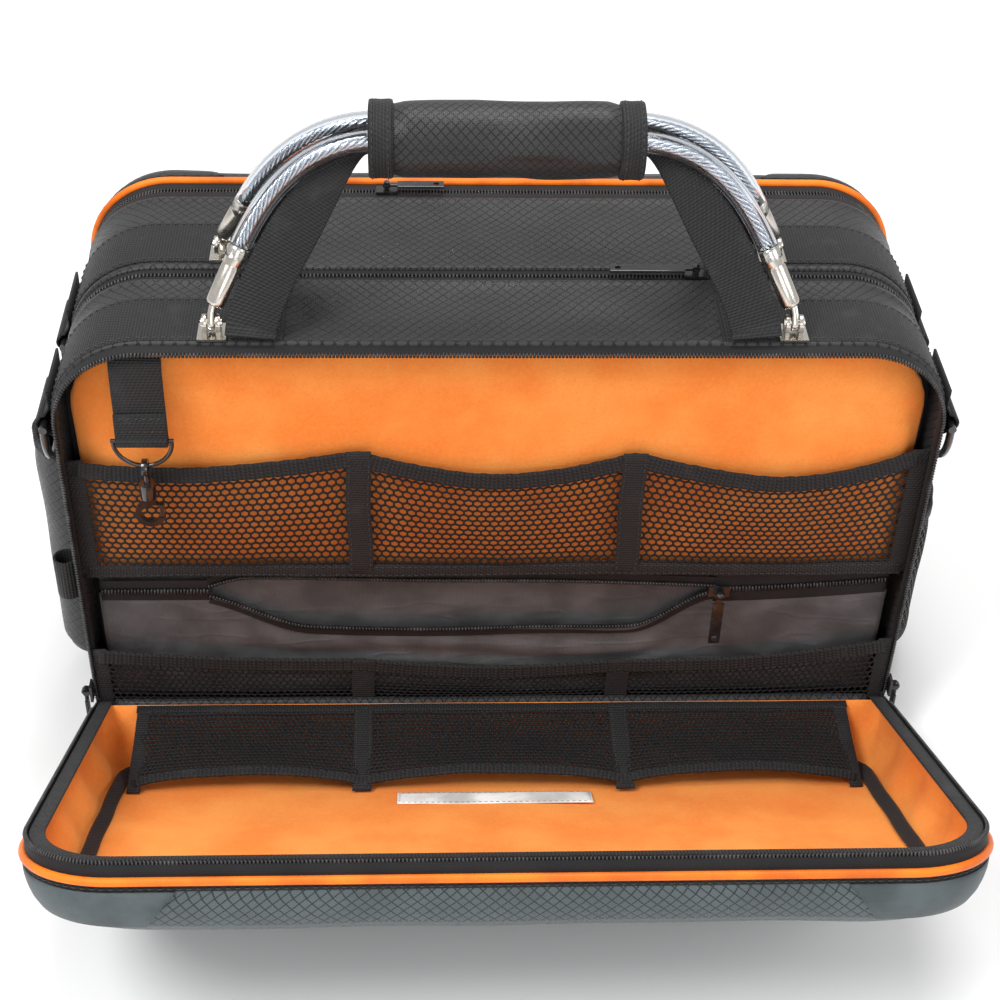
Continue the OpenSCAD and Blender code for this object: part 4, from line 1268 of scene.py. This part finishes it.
def side_sleeve():
    """Tall narrow pocket on the left, with its floor, elastic mouth and drain eyelet."""
    rows = []
    angles = np.linspace(0, 180, 44)
    levels = [30.8, 31.2, 32.6, 36, 42] + list(np.linspace(50, 160, 20)) + [165, 169, 171.6]
    for a in angles:
        row = []
        for z in levels:
            pinch = 2.2 * smooth((36.5 - z) / 6) + 1.6 * smooth((z - 150) / 22)
            gather = 0.5 * math.sin(a / 4.2) * smooth((z - 152) / 18) * hump(a / 180)
            wave = 0.8 * ripple(a / 21.0, z / 24.0, 1.5) * hump((z - 30) / 142) + gather
            q = pocket_ring(*SLEEVE, a, wave - pinch - 0.4)
            row.append((q[0], q[1], z))
        rows.append(row)
    ob = thicken(grid("side_sleeve_fabric", rows, mat_shell, "root"), 1.3)
    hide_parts("tester_sleeve")
    rows = []
    for k in np.linspace(0.02, 1, 8):
        row = []
        for a in angles:
            q = pocket_ring(*SLEEVE, a, -2.6)
            x = -HALF - 8 + (q[0] + HALF + 8) * k
            row.append((x, SLEEVE_Y + (q[1] - SLEEVE_Y) * k, 31.2 + 0.5 * (1 - k)))
        rows.append(row)
    thicken(grid("side_sleeve_floor", rows, mat_shell, "root", round_v=True), 1.2)
    mouth = (0, 0, 168.4)
    top = [pocket_ring(*SLEEVE, a, -1.6 + 0.4 * math.sin(a / 4.2) * hump(a / 180)) + mouth for a in angles]
    ups = np.array([unit(q - np.array((-HALF - 4, SLEEVE_Y, mouth[2]))) for q in top])
    ob = sweep("side_sleeve_binding", top, flat_section(8.0, 2.3, 4, 3, 0.25), mat_elastic, "root", ups)
    turn = np.linspace(0, 2 * math.pi, 25)[:-1]
    ring = [(-HALF - 8.05 + 4.1 * math.cos(a), SLEEVE_Y + 4.1 * math.sin(a), 31.1) for a in turn]
    sweep("side_sleeve_grommet", ring, round_section(0.8, 8, 0.8), mat_nickel, "root", closed=True)


BOTTLE_Y = 4.0
BOTTLE = (1, BOTTLE_Y, 92.0, 24.8)


def bottle_net():
    """Net bottle pocket on the right, with its foot tape, elastic edge and floor."""
    angles = np.linspace(0, 180, 181)
    pts = [pocket_ring(*BOTTLE, a) for a in angles]
    run = np.concatenate([[0], np.cumsum([np.linalg.norm(pts[i + 1] - pts[i]) for i in range(180)])])

    def where(u, v):
        a = float(np.interp(u, run, angles))
        z = 33.0 + v
        pinch = 1.5 * smooth((z - 100) / 16) + 0.9 * smooth((40 - z) / 8)
        q = pocket_ring(*BOTTLE, a, 0.6 * ripple(a / 17.0, z / 19.0, 4.0) * hump(v / 82) - pinch)
        return q[0], q[1], z

    ob = net("bottle_net", 0.0, float(run[-1]), 0.0, 83.0, 4.4, 0.76, where, mat_net, "root", 0.8)
    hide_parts("bottle_pocket")
    for tag, z0, z1, grow, gather, mat in (
        ("foot", 30.8, 38.0, -0.3, 0.0, mat_web),
        ("edge", 113.6, 122.0, -1.2, 0.3, mat_elastic),
    ):
        middle = (z0 + z1) / 2
        path = []
        for a in np.linspace(0, 180, 60):
            path.append(pocket_ring(*BOTTLE, a, grow + gather * math.sin(a / 3.6)) + (0, 0, middle))
        ups = np.array([unit(q - np.array((HALF + 4, BOTTLE_Y, middle))) for q in path])
        sweep("bottle_net_" + tag, path, flat_section(z1 - z0, 1.9, 4, 4, 0.25), mat, "root", ups)
    rim = [pocket_ring(*BOTTLE, a, -1.4) for a in np.linspace(0, 180, 50)]
    rows = []
    for k in np.linspace(0.02, 1, 8):
        rows.append([(HALF + 8 + (q[0] - HALF - 8) * k, BOTTLE_Y + (q[1] - BOTTLE_Y) * k, 31.4) for q in rim])
    thicken(grid("bottle_pocket_floor", rows, mat_shell, "root", round_v=True), 1.2)


side_sleeve()
bottle_net()


# ---------- doors ----------


# Points along each part of a door's outline: the long sides, the ends, the far and the near corners
LONG_STEPS, SIDE_STEPS, CORNER_STEPS, LOW_STEPS = 44, 20, 10, 5


def door_loop(inset, low, high, r, rb):
    """Rounded door outline with a fixed number of points, from the low left corner round."""
    x = HALF - inset
    pts = []

    def line(a, b, n):
        for k in range(n):
            t = k / n
            pts.append((a[0] + (b[0] - a[0]) * t, a[1] + (b[1] - a[1]) * t))

    def turn(cx, cy, rad, a0, n):
        for k in range(n):
            a = math.radians(a0 + 90 * k / n)
            pts.append((cx + rad * math.cos(a), cy + rad * math.sin(a)))

    line((-x + rb, low), (x - rb, low), LONG_STEPS)
    turn(x - rb, low + rb, rb, -90, LOW_STEPS)
    line((x, low + rb), (x, high - r), SIDE_STEPS)
    turn(x - r, high - r, r, 0, CORNER_STEPS)
    line((x - r, high), (-x + r, high), LONG_STEPS)
    turn(-x + r, high - r, r, 90, CORNER_STEPS)
    line((-x, high - r), (-x, low + rb), SIDE_STEPS)
    turn(-x + rb, low + rb, rb, 180, LOW_STEPS)
    return np.array(pts)


def loft(name, keys, steps, place, mat, body, wave, flip=False):
    """Skin through door outlines; keys hold (d, inset, low, high, corner, low corner)."""
    keys = np.array(keys, float)
    t_keys = run_lengths(keys[:, [0, 1, 2]])
    ts = np.unique(np.concatenate([t_keys, np.linspace(0, t_keys[-1], steps)]))
    loops, depths = [], []
    for t in ts:
        d, inset, low, high, r, rb = [np.interp(t, t_keys, keys[:, j]) for j in range(6)]
        loops.append(door_loop(inset, low, high, r, rb))
        depths.append(d)
    n = len(loops[0])
    rows, uv = [], [None] * len(loops)
    centre = loops[-1].mean(0)
    uv[-1] = loops[-1].copy()
    for i in range(len(loops) - 2, -1, -1):
        step = loops[i] - loops[i + 1]
        flat = np.linalg.norm(step, axis=1, keepdims=True)
        full = np.sqrt(flat ** 2 + (depths[i] - depths[i + 1]) ** 2)
        outward = (loops[i] - centre) / np.linalg.norm(loops[i] - centre, axis=1, keepdims=True)
        way = np.where(flat > 0.05, step / np.maximum(flat, 1e-6), outward)
        uv[i] = uv[i + 1] + way * full
    for i, loop in enumerate(loops):
        row = []
        for k in range(n):
            x, s = loop[k]
            dx, ds, dd = wave(x, s, depths[i])
            row.append(place(x + dx, s + ds, depths[i] + dd))
        rows.append(row)
    way_round = -1 if flip else 1
    faces, corner_uv = [], []
    for i in range(len(rows) - 1):
        for k in range(n):
            k2 = (k + 1) % n
            quad = ((i, k), (i, k2), (i + 1, k2), (i + 1, k))[::way_round]
            faces.append(tuple(a * n + b for a, b in quad))
            corner_uv += [tuple(uv[a][b]) for a, b in quad]
    last = len(rows) - 1
    # the middle is closed by strips between the two long sides
    b0 = LONG_STEPS + LOW_STEPS + SIDE_STEPS + CORNER_STEPS
    b1 = b0 + LONG_STEPS
    middle = [(k, k + 1, b1 - k - 1, b1 - k) for k in range(LONG_STEPS)]
    middle += [tuple(range(LONG_STEPS, b0 + 1)), (*range(b1, n), 0)]
    for chain in middle:
        chain = chain[::way_round]
        faces.append(tuple(last * n + q for q in chain))
        corner_uv += [tuple(uv[last][q]) for q in chain]
    return build(name, np.array(rows).reshape(-1, 3), faces, mat, body, corner_uv)


SHELL_KEYS = [
    (8.6, 0.4, 1.4, 225.6, 44, 3), (10.5, 0.0, 1.0, 226.0, 44, 3), (14, 0.0, 1.0, 226.0, 44, 4),
    (18, 0.3, 1.3, 225.6, 44, 5), (23, 1.0, 2.6, 223.8, 44, 6), (28, 2.0, 4.6, 221.2, 44, 8),
    (33, 3.6, 7.6, 217.4, 44, 10), (39.5, 7.0, 16.6, 206, 44, 14), (45, 10.6, 28, 195, 44, 17),
    (50, 14.6, 38, 183, 44, 20), (54, 22.5, 45.5, 162, 42, 22), (57.4, 31, 52, 143, 38, 22),
    (59.3, 41, 57, 126, 31, 20), (59.8, 60, 66, 117, 22, 16), (60.0, 90, 78, 105, 12, 10),
]
TRAY_KEYS = [
    (2.4, 2.6, 4.0, 223.4, 41.4, 3), (5, 3.6, 5.2, 222.4, 40.4, 4), (9, 4.5, 6.0, 221.5, 39.5, 5),
    (14, 5.0, 6.6, 221.0, 39.0, 6), (20, 7.6, 10.2, 213, 40, 8), (26, 10.8, 14.6, 205.0, 41, 11),
    (31, 14.0, 18.6, 198.2, 42, 14), (34.0, 17.4, 22.4, 193.6, 43, 18), (35.4, 22.0, 27.0, 189.0, 43, 22),
    (35.9, 30.0, 34.0, 182.0, 42, 26), (35.9, 60, 56, 156, 34, 30), (35.9, 100, 84, 128, 16, 16),
]


def shell_wave(seed):
    """Shift (x, s, d) of a door skin's point: soft, shallow dents."""
    def wave(x, s, d):
        w = smooth((d - 12) / 14)
        q = 0.9 * ripple(x / 46.0, s / 40.0 + d / 20.0, seed) * w
        return q * 0.4 * np.sign(x), (q * 0.5 if s > 60 else 0.0), min(0.0, q - 0.4) * w
    return wave


def tray_wave(seed):
    """Shift (x, s, d) of a door tray's point: folds on the walls and a soft floor."""
    def wave(x, s, d):
        wall = smooth((d - 5) / 9) * smooth((35.0 - d) / 6)
        floor = smooth((d - 33) / 3)
        side = smooth((abs(x) - 150) / 40)
        folds = 1.5 * math.sin(s / 7.5 + 2.2 * math.sin(x / 40.0 + seed)) * side
        folds = folds + 1.2 * ripple(x / 26.0, d / 9.0, seed)
        inward = -np.sign(x) * folds * wall if abs(x) > 160 else 0.0
        down = -folds * wall if s > 150 else 0.0
        broad, fine = ripple(x / 44.0, s / 30.0, seed), ripple(x / 15.0, s / 13.0, seed)
        lift = -floor * (0.9 + 0.9 * broad + 0.35 * fine)
        return inward, down, min(0.0, lift)
    return wave


def near_floor(ob):
    """Keeps the resting door clear of the ground."""
    co = np.zeros(len(ob.data.vertices) * 3)
    ob.data.vertices.foreach_get("co", co)
    co = co.reshape(-1, 3)
    co[:, 2] = np.maximum(co[:, 2], 0.0006)
    ob.data.vertices.foreach_set("co", co.ravel())
    ob.data.update()
    return ob


DOOR_S = side_s(HINGE + 0.7)
door_run = arch_run(-DOOR_S, DOOR_S, 6.0)


# Section (y, z) of the hinge fabric with the door open: up the base, over the fold and down to the door
HINGE_PROFILE = (
    (-73.4, 13.0), (-73.9, 18.5), (-74.4, 24.0), (-75.0, 27.2), (-76.2, 27.9),
    (-77.7, 26.9), (-79.2, 24.6), (-80.7, 21.7), (-81.9, 19.2),
)


def door(which, place, shell_mat, seed):
    """One door with its skin, tray, rim, corner patches and fabric hinge."""
    body = which + "_door"
    flip = which == "rear"
    shell = loft(which + "_door_skin", SHELL_KEYS, 26, place, shell_mat, body, shell_wave(seed), flip)
    if which == "front":
        near_floor(shell)
    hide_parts(which + "_door_shell")
    tray = loft(which + "_door_tray", TRAY_KEYS, 22, place, mat_velour, body, tray_wave(seed), flip)
    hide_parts(which + "_door_lining")
    ob = arch_sweep(which + "_door_tape", door_run, rounded(-1.4, -0.1, 1.5, 8.4, 0.4), mat_tape, body, place)
    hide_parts(which + "_door_zip_tape")
    arch_sweep(which + "_door_binding", door_run, rounded(-9.4, -2.2, 1.0, 2.3, 0.6), mat_web, body, place)
    path, ups = [], []
    lift = np.array(place(0, 0, -1.0)) - np.array(place(0, 0, 0))
    for x, s in door_loop(19.0, 22.0, 191.5, 42.0, 18.0)[LONG_STEPS:]:
        dx, ds, dd = tray_wave(seed)(x, s, 33.4)
        path.append(place(x + dx, s + ds, 31.6 + dd))
        ups.append(lift * 1.2 + unit(np.array(place(0, 108.0, 33.0)) - np.array(place(x, s, 33.0))))
    sweep(which + "_door_seam_binding", path, flat_section(7.4, 2.6, 5), mat_web, body, np.array(ups))
    end = side_s(HINGE + 14.0)
    ob = arch_teeth(which + "_door_coil", -end, end, -1.45, 1.0, 1.9, 2.3, COIL_PITCH, mat_coil, body, place)
    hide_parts(which + "_door_zip_coil")
    ring = [(0.62 + 2.0 * math.cos(a), 8.8 + 2.0 * math.sin(a)) for a in np.linspace(0, 2 * math.pi, 15)[:-1]]
    ob = arch_sweep(which + "_door_cord", door_run, ring, mat_piping, body, place)
    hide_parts(which + "_door_piping")
    arch_sweep(which + "_door_seam", door_run, rounded(-0.4, 0.5, 10.2, 13.4, 0.35), mat_tape, body, place)
    path, normal = [], []
    for s in arch_run(-DOOR_S + 3, DOOR_S - 3, 4.0):
        x, z, nx, nz = arch(s, 0.62)
        path.append(place(x, z - HINGE, 12.2))
        normal.append(np.array(place(nx, nz, 0)) - np.array(place(0, 0, 0)))
    stitches(which + "_door_thread", path, np.array(normal), mat_thread, body, 2.8, 1.3, 0.24, 0.0)
    # corner patches over the two far corners, a little proud of the skin
    depth_keys = [k[0] for k in SHELL_KEYS]
    for side, hand in SIDES:
        rows = []
        for d in np.linspace(13.6, 33.0, 9):
            inset, high, r = [np.interp(d, depth_keys, [k[j] for k in SHELL_KEYS]) for j in (1, 3, 4)]
            row = []
            reach = 62.0 - (d - 13.6) * 0.9
            for t in np.linspace(-1, 1, 27):
                s = t * reach
                if abs(s) < CORNER_LEN / 2:
                    a = math.pi / 4 + s / (CORNER_LEN / 2) * math.pi / 4
                    x, z = HALF - inset - r + (r + 0.7) * math.sin(a), high - r + (r + 0.7) * math.cos(a)
                elif s < 0:
                    x, z = HALF - inset - r - (abs(s) - CORNER_LEN / 2), high + 0.7
                else:
                    x, z = HALF - inset + 0.7, high - r - (s - CORNER_LEN / 2)
                dx, ds, dd = shell_wave(seed)(side * x, z, d)
                row.append(place(side * x + dx, z + ds, d + dd))
            rows.append(row)
        patch_mat = mat_corner if which == "front" else mat_shell
        patch = grid("%s_door_corner_%s" % (which, hand), rows, patch_mat, body)
        if which == "front":
            near_floor(patch)
        thicken(patch, 0.7)
    # fabric hinge between the base and the door
    rows = []
    for x in np.linspace(-204, 204, 60):
        row = []
        for y, z in HINGE_PROFILE:
            if which == "rear":
                rel = (-y - 75.0, z - 28.0)
                if y < -75.0:
                    dd = rel[0] * math.cos(OPEN) - rel[1] * math.sin(OPEN)
                    ss = rel[0] * math.sin(OPEN) + rel[1] * math.cos(OPEN)
                    row.append((x, REAR + dd, HINGE + ss + 0.2))
                else:
                    row.append((x, -y, z))
            else:
                row.append((x, y + 0.25 * math.sin(x / 21.0), z))
        rows.append(row)
    ob = grid(which + "_hinge_fabric", rows, mat_shell, None)
    if which == "front":
        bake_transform(ob)
    else:
        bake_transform(ob)
    thicken(ob, 1.0)


door("front", front_place, mat_grey, 0.6)
door("rear", rear_place, mat_shell, 3.1)


# Net pockets at the hinge end of the open door: net from the wall down to a mouth on the tray floor
POCKET_LOW, POCKET_HIGH, POCKET_HALF = 7.4, 51.0, box("front_door_pocket")[1][0]
POCKET_EDGES = (-POCKET_HALF, TAPE_XS[0], TAPE_XS[1], POCKET_HALF)


def door_net_depth(x, s):
    t = (s - POCKET_LOW) / (POCKET_HIGH - POCKET_LOW)
    share = pocket_share(x, POCKET_EDGES)
    sag = 1.6 * hump(t) * (0.4 + 0.6 * share)
    return 5.2 + 27.4 * t - 6.0 * share * smooth(t) + sag + 0.35 * ripple(x / 14.0, s / 9.0, 2.0)


def door_net_point(u, v):
    return front_place(u, v, door_net_depth(u, v))


mesh = net("door_net", -POCKET_HALF, POCKET_HALF, POCKET_LOW, POCKET_HIGH - 4.4, 2.5, 0.46,
           door_net_point, mat_net, "front_door", 1.0)
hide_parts("front_door_pocket")
out = np.array(front_place(0, 0.53, -0.85)) - np.array(front_place(0, 0, 0))
path = []
for x in np.linspace(-POCKET_HALF - 1, POCKET_HALF + 1, 110):
    s = POCKET_HIGH - 2.2 - 1.6 * pocket_share(x, POCKET_EDGES)
    path.append(front_place(x, s, door_net_depth(x, s) - 0.3))
ob = sweep("door_net_edge", path, flat_section(5.6, 1.4, 3, 3, 0.3), mat_elastic, "front_door", out)
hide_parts("front_door_pocket_tapes")
for k, x in enumerate(TAPE_XS):
    heights = np.linspace(POCKET_LOW - 0.2, 54.0, 20)
    path = [front_place(x, s, door_net_depth(x, s) - 0.9) for s in heights]
    strip("door_net_tape_%d" % k, path, 10.0, 0.9, mat_web, "front_door", out, None, mat_thread)
for side, hand in SIDES:
    heights = np.linspace(POCKET_LOW - 0.2, 53.5, 16)
    path = [front_place(side * POCKET_HALF, s, door_net_depth(POCKET_HALF, s) - 0.4) for s in heights]
    strip("door_net_end_" + hand, path, 7.0, 1.0, mat_web, "front_door", out)
foot_xs = np.linspace(-POCKET_HALF - 4, POCKET_HALF + 4, 80)
path = [front_place(x, POCKET_LOW - 0.9 + 0.3 * math.sin(x / 19), 4.0) for x in foot_xs]
strip("door_net_foot", path, 5.0, 1.0, mat_web, "front_door", out)

rows = []
for x in np.linspace(-52, 48, 30):
    rows.append([front_place(x, s, 34.1 - 0.25 * ripple(x / 20, s / 10)) for s in np.linspace(56, 72, 8)])
ob = thicken(grid("door_label_cloth", rows, mat_label, "front_door"), 0.4)
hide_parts("front_door_label")
near_left, near_right, far_left, far_right = (-50.8, 57.2), (46.8, 57.2), (-50.8, 70.8), (46.8, 70.8)
label_edges = ((near_left, near_right), (far_left, far_right), (near_left, far_left), (near_right, far_right))
for k, (a, b) in enumerate(label_edges):
    line = []
    for t in np.linspace(0, 1, 14):
        line.append(front_place(a[0] + (b[0] - a[0]) * t, a[1] + (b[1] - a[1]) * t, 33.8))
    stitches("label_thread_%d" % k, line, out, mat_thread_grey, "front_door", 2.0, 1.0, 0.18, 0.0)


# ---------- handles and grip ----------

PIVOT_Z, PIVOT_FRONT, PIVOT_REAR = 262.0, -60.0, 9.0
REACH = 84.6
CABLE_Y, STRAP_Y = -9.9, -4.0
GRIP_Y = -25.5
LEAN = math.asin((GRIP_Y - PIVOT_FRONT) / REACH)
GRIP_Z = PIVOT_Z + REACH * math.cos(LEAN)


def handle_place(which):
    """Place about a handle's pivot: x across, y towards the other handle, z up the leaning handle."""
    def place(x, y, z):
        yy = y * math.cos(LEAN) + z * math.sin(LEAN)
        zz = -y * math.sin(LEAN) + z * math.cos(LEAN)
        return np.array((x, PIVOT_FRONT + yy if which == "front" else PIVOT_REAR - yy, PIVOT_Z + zz))
    return place


def cubic(c, t):
    c = np.asarray(c, float)
    return (1 - t) ** 3 * c[0] + 3 * t * (1 - t) ** 2 * c[1] + 3 * t * t * (1 - t) * c[2] + t ** 3 * c[3]


def spline(knots):
    """Points of a smooth curve through the knots, five to a span."""
    points = []
    last = len(knots) - 1
    for i in range(last):
        a, b = np.array(knots[i]), np.array(knots[i + 1])
        p0, p3 = np.array(knots[max(0, i - 1)]), np.array(knots[min(last, i + 2)])
        square, cube = 2 * p0 - 5 * a + 4 * b - p3, 3 * a - p0 - 3 * b + p3
        for t in np.linspace(0, 1, 6)[: 5 if i < last - 1 else 6]:
            points.append(0.5 * ((2 * a) + (b - p0) * t + square * t ** 2 + cube * t ** 3))
    return np.array(points)


# Ferrule as (distance along it, radius), from the tang end up and back into its mouth
FERRULE = (
    (-0.4, 2.4), (0.0, 3.6), (0.8, 4.4), (2.4, 4.65), (20.0, 4.65), (20.7, 4.35), (21.6, 4.35),
    (22.3, 4.65), (29.0, 4.65), (30.4, 4.45), (31.0, 4.05), (31.0, 3.9), (28.0, 3.85),
)
# Middle line of a webbing leg, from the band below into the grip, in the handle's own place
LEG = (
    (118.6, -5.4, -6.2), (118.4, -4.8, -4.4), (117.6, -4.0, 0.0), (113.5, -4.0, 12.0),
    (107.6, -4.2, 25.0), (100.0, -4.4, 39.0), (91.5, -4.4, 53.0), (82.6, -4.2, 66.5),
    (74.5, -4.0, 77.0), (66.5, -4.0, 83.4), (56.0, -4.0, 84.6), (50.0, -4.0, 84.6),
)


def handle(which):
    """One handle: two cable ends with sleeves, ferrules and tangs, and its webbing strap."""
    body = which + "_handle"
    place = handle_place(which)
    low, high = np.array((135.5, 0, 8.0)), np.array((122.0, -1.4, 37.0))
    bend = [high, (110, -4, 62), (90, CABLE_Y, REACH), (57, CABLE_Y, REACH)]
    for side, hand in SIDES:
        local = [high + (high - low) * k / 31.0 for k in (-7.0, -3.5)]
        local += [cubic(bend, t) for t in np.linspace(0, 1, 60)]
        local += [np.array((x, CABLE_Y, REACH)) for x in np.arange(54.0, -0.1, -3.0)]
        path = np.array([place(side * p[0], p[1], p[2]) for p in local])
        run = run_lengths(path)
        fr = frames(path, (0, 1, 0.2))
        parts = [tube_parts(path, 0.95, 6, (0, 1, 0.2))]
        for k in range(6):
            line = []
            for i in range(len(path)):
                a = 2 * math.pi * k / 6 + 2 * math.pi * run[i] / 24.0
                line.append(path[i] + 1.75 * (math.cos(a) * fr[i][1] + math.sin(a) * fr[i][2]))
            parts.append(tube_parts(line, 0.86, 7, (0, 1, 0.2)))
        ob = join("%s_cable_strands_%s" % (which, hand), parts, mat_steel, body)
        if side < 0:
            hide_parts(which + "_handle_cable")
        verts, faces = tube_parts(path, 4.0, 20, (0, 1, 0.2))
        ob = build("%s_cable_sleeve_%s" % (which, hand), verts, faces[:-2], mat_sleeve, body)
        thicken(ob, 1.1, -1.0)
        if side < 0:
            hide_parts(which + "_handle_sleeve")
        # ferrule turned from a profile, then its flat tang
        way = unit(high - low)
        spine = [low + way * a for a, _ in FERRULE]
        world_spine = np.array([place(side * p[0], p[1], p[2]) for p in spine])
        axis = unit(world_spine[4] - world_spine[1])
        side_axis = unit(np.cross(axis, (0, 1, 0)))
        top_axis = unit(np.cross(side_axis, axis))
        verts, faces, n = [], [], 28
        for c, (_, r) in zip(world_spine, FERRULE):
            for k in range(n):
                a = 2 * math.pi * k / n
                verts.append(c + r * (math.cos(a) * side_axis + math.sin(a) * top_axis))
        faces += ring_faces(len(FERRULE), n)
        faces.append(tuple(range(n))[::-1])
        ob = build("%s_ferrule_%s" % (which, hand), verts, faces, mat_nickel, body)
        if side < 0:
            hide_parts(which + "_handle_fittings")
        half_turn = [math.radians(a) for a in np.linspace(-180, 0, 13)]
        outline = [(4.0 * math.cos(a), 4.0 * math.sin(a)) for a in half_turn]
        outline += [(3.4, 4.5), (3.3, 9.0), (2.6, 12.0), (-2.6, 12.0), (-3.3, 9.0), (-3.4, 4.5)]
        verts, faces, m = [], [], len(outline)
        for x, k in ((-1.5, 0.9), (-1.2, 1.0), (1.2, 1.0), (1.5, 0.9)):
            for a, b in outline:
                bow = smooth((b - 4) / 8)
                verts.append(place(side * (137.0 + x - 1.6 * bow), a * k, b * (k if b < 4 else 1)))
        faces += ring_faces(4, m)
        faces.append(tuple(range(m))[::-1])
        faces.append(tuple(3 * m + k for k in range(m)))
        build("%s_tang_%s" % (which, hand), verts, faces, mat_nickel, body)
        # webbing leg, sewn to the band below and folded into the grip above
        smooth_leg = spline(LEG)
        share = np.linspace(0, 1, len(smooth_leg))
        widths = 1.0 - 0.5 * smooth((share - 0.45) / 0.4)
        pts = np.array([place(side * p[0], p[1] + 0.5 * math.sin(p[2] / 12.0), p[2]) for p in smooth_leg])
        face = unit(place(0, -1.0, 0) - place(0, 0, 0))
        section = flat_section(24.0, 2.2, 5)
        ob = sweep("%s_strap_%s" % (which, hand), pts, section, mat_web, None, face, widths)
        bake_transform(ob)
        if side < 0:
            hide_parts(which + "_handle_strap")
    middle = [place(x, STRAP_Y + 0.3 * hump(x / 101.0 + 0.5), REACH) for x in np.linspace(-50.5, 50.5, 24)]
    sweep(which + "_strap_middle", middle, flat_section(12.0, 2.2, 5), mat_web, body, face)


handle("front")
handle("rear")


GRIP_HALF, GRIP_RADIUS, GRIP_POINTS = 52.6, 17.0, 40


def grip_ring(r_out, r_in, slot):
    """C-shaped section, open towards +Y, as (y, z) about the grip's centre."""
    pts = []
    for r, start, end in ((r_out, slot, 360 - slot), (r_in, 360 - slot, slot)):
        for a in np.linspace(start, end, GRIP_POINTS):
            t = math.radians(a)
            pts.append((r * math.cos(t), r * math.sin(t)))
    return pts


def grip():
    """The padded grip wrap with a binding and two rows of thread at each end."""
    rows = []
    for x in np.concatenate([[-GRIP_HALF, -52.2], np.linspace(-51, 51, 46), [52.2, GRIP_HALF]]):
        row = []
        for k, (y, z) in enumerate(grip_ring(GRIP_RADIUS, 14.3, 62.0)):
            a = math.atan2(z, y)
            w = smooth((GRIP_HALF - abs(x)) / 7.0)
            grow = 0.0
            if k < GRIP_POINTS:
                grow = -1.5 * (1 - w) + 0.75 * ripple(x / 19.0, a * 1.6, 2.0) * w
                grow = grow - 0.5 * hump((x + 14) / 28) * abs(math.sin(a)) + 0.5
            r = math.hypot(y, z) + grow
            row.append((x, GRIP_Y + r * math.cos(a), GRIP_Z + r * math.sin(a)))
        rows.append(row)
    ob = grid("grip_pad", rows, mat_grip, "front_handle", round_v=True, caps=True)
    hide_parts("grip_wrap")
    binding = (
        (51.6, -0.9), (51.9, 0.5), (52.6, 0.95), (54.5, 1.0), (57.2, 0.85),
        (60.0, 1.0), (62.0, 0.95), (62.8, 0.5), (63.0, -0.6),
    )
    for side, hand in SIDES:
        rows = []
        for x, grow in binding:
            row = []
            for k, (y, z) in enumerate(grip_ring(GRIP_RADIUS, 14.0, 61.0)):
                a = math.atan2(z, y)
                r = math.hypot(y, z) + (grow + 0.15 * math.sin(a * 9 + side) if k < GRIP_POINTS else 0.0)
                row.append((side * x, GRIP_Y + r * math.cos(a), GRIP_Z + r * math.sin(a)))
            rows.append(row)
        ob = grid("grip_binding_" + hand, rows, mat_web, "front_handle", round_v=True, caps=True)
        if side < 0:
            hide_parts("grip_bindings")
        for k, x in enumerate((53.9, 61.2)):
            path, normal = [], []
            for a in np.linspace(66, 294, 60):
                t = math.radians(a)
                path.append((side * x, GRIP_Y + 18.05 * math.cos(t), GRIP_Z + 18.05 * math.sin(t)))
                normal.append((0, math.cos(t), math.sin(t)))
            name = "grip_thread_%s_%d" % (hand, k)
            stitches(name, path, np.array(normal), mat_thread, "front_handle", 2.4, 1.2, 0.22, 0.0)


grip()
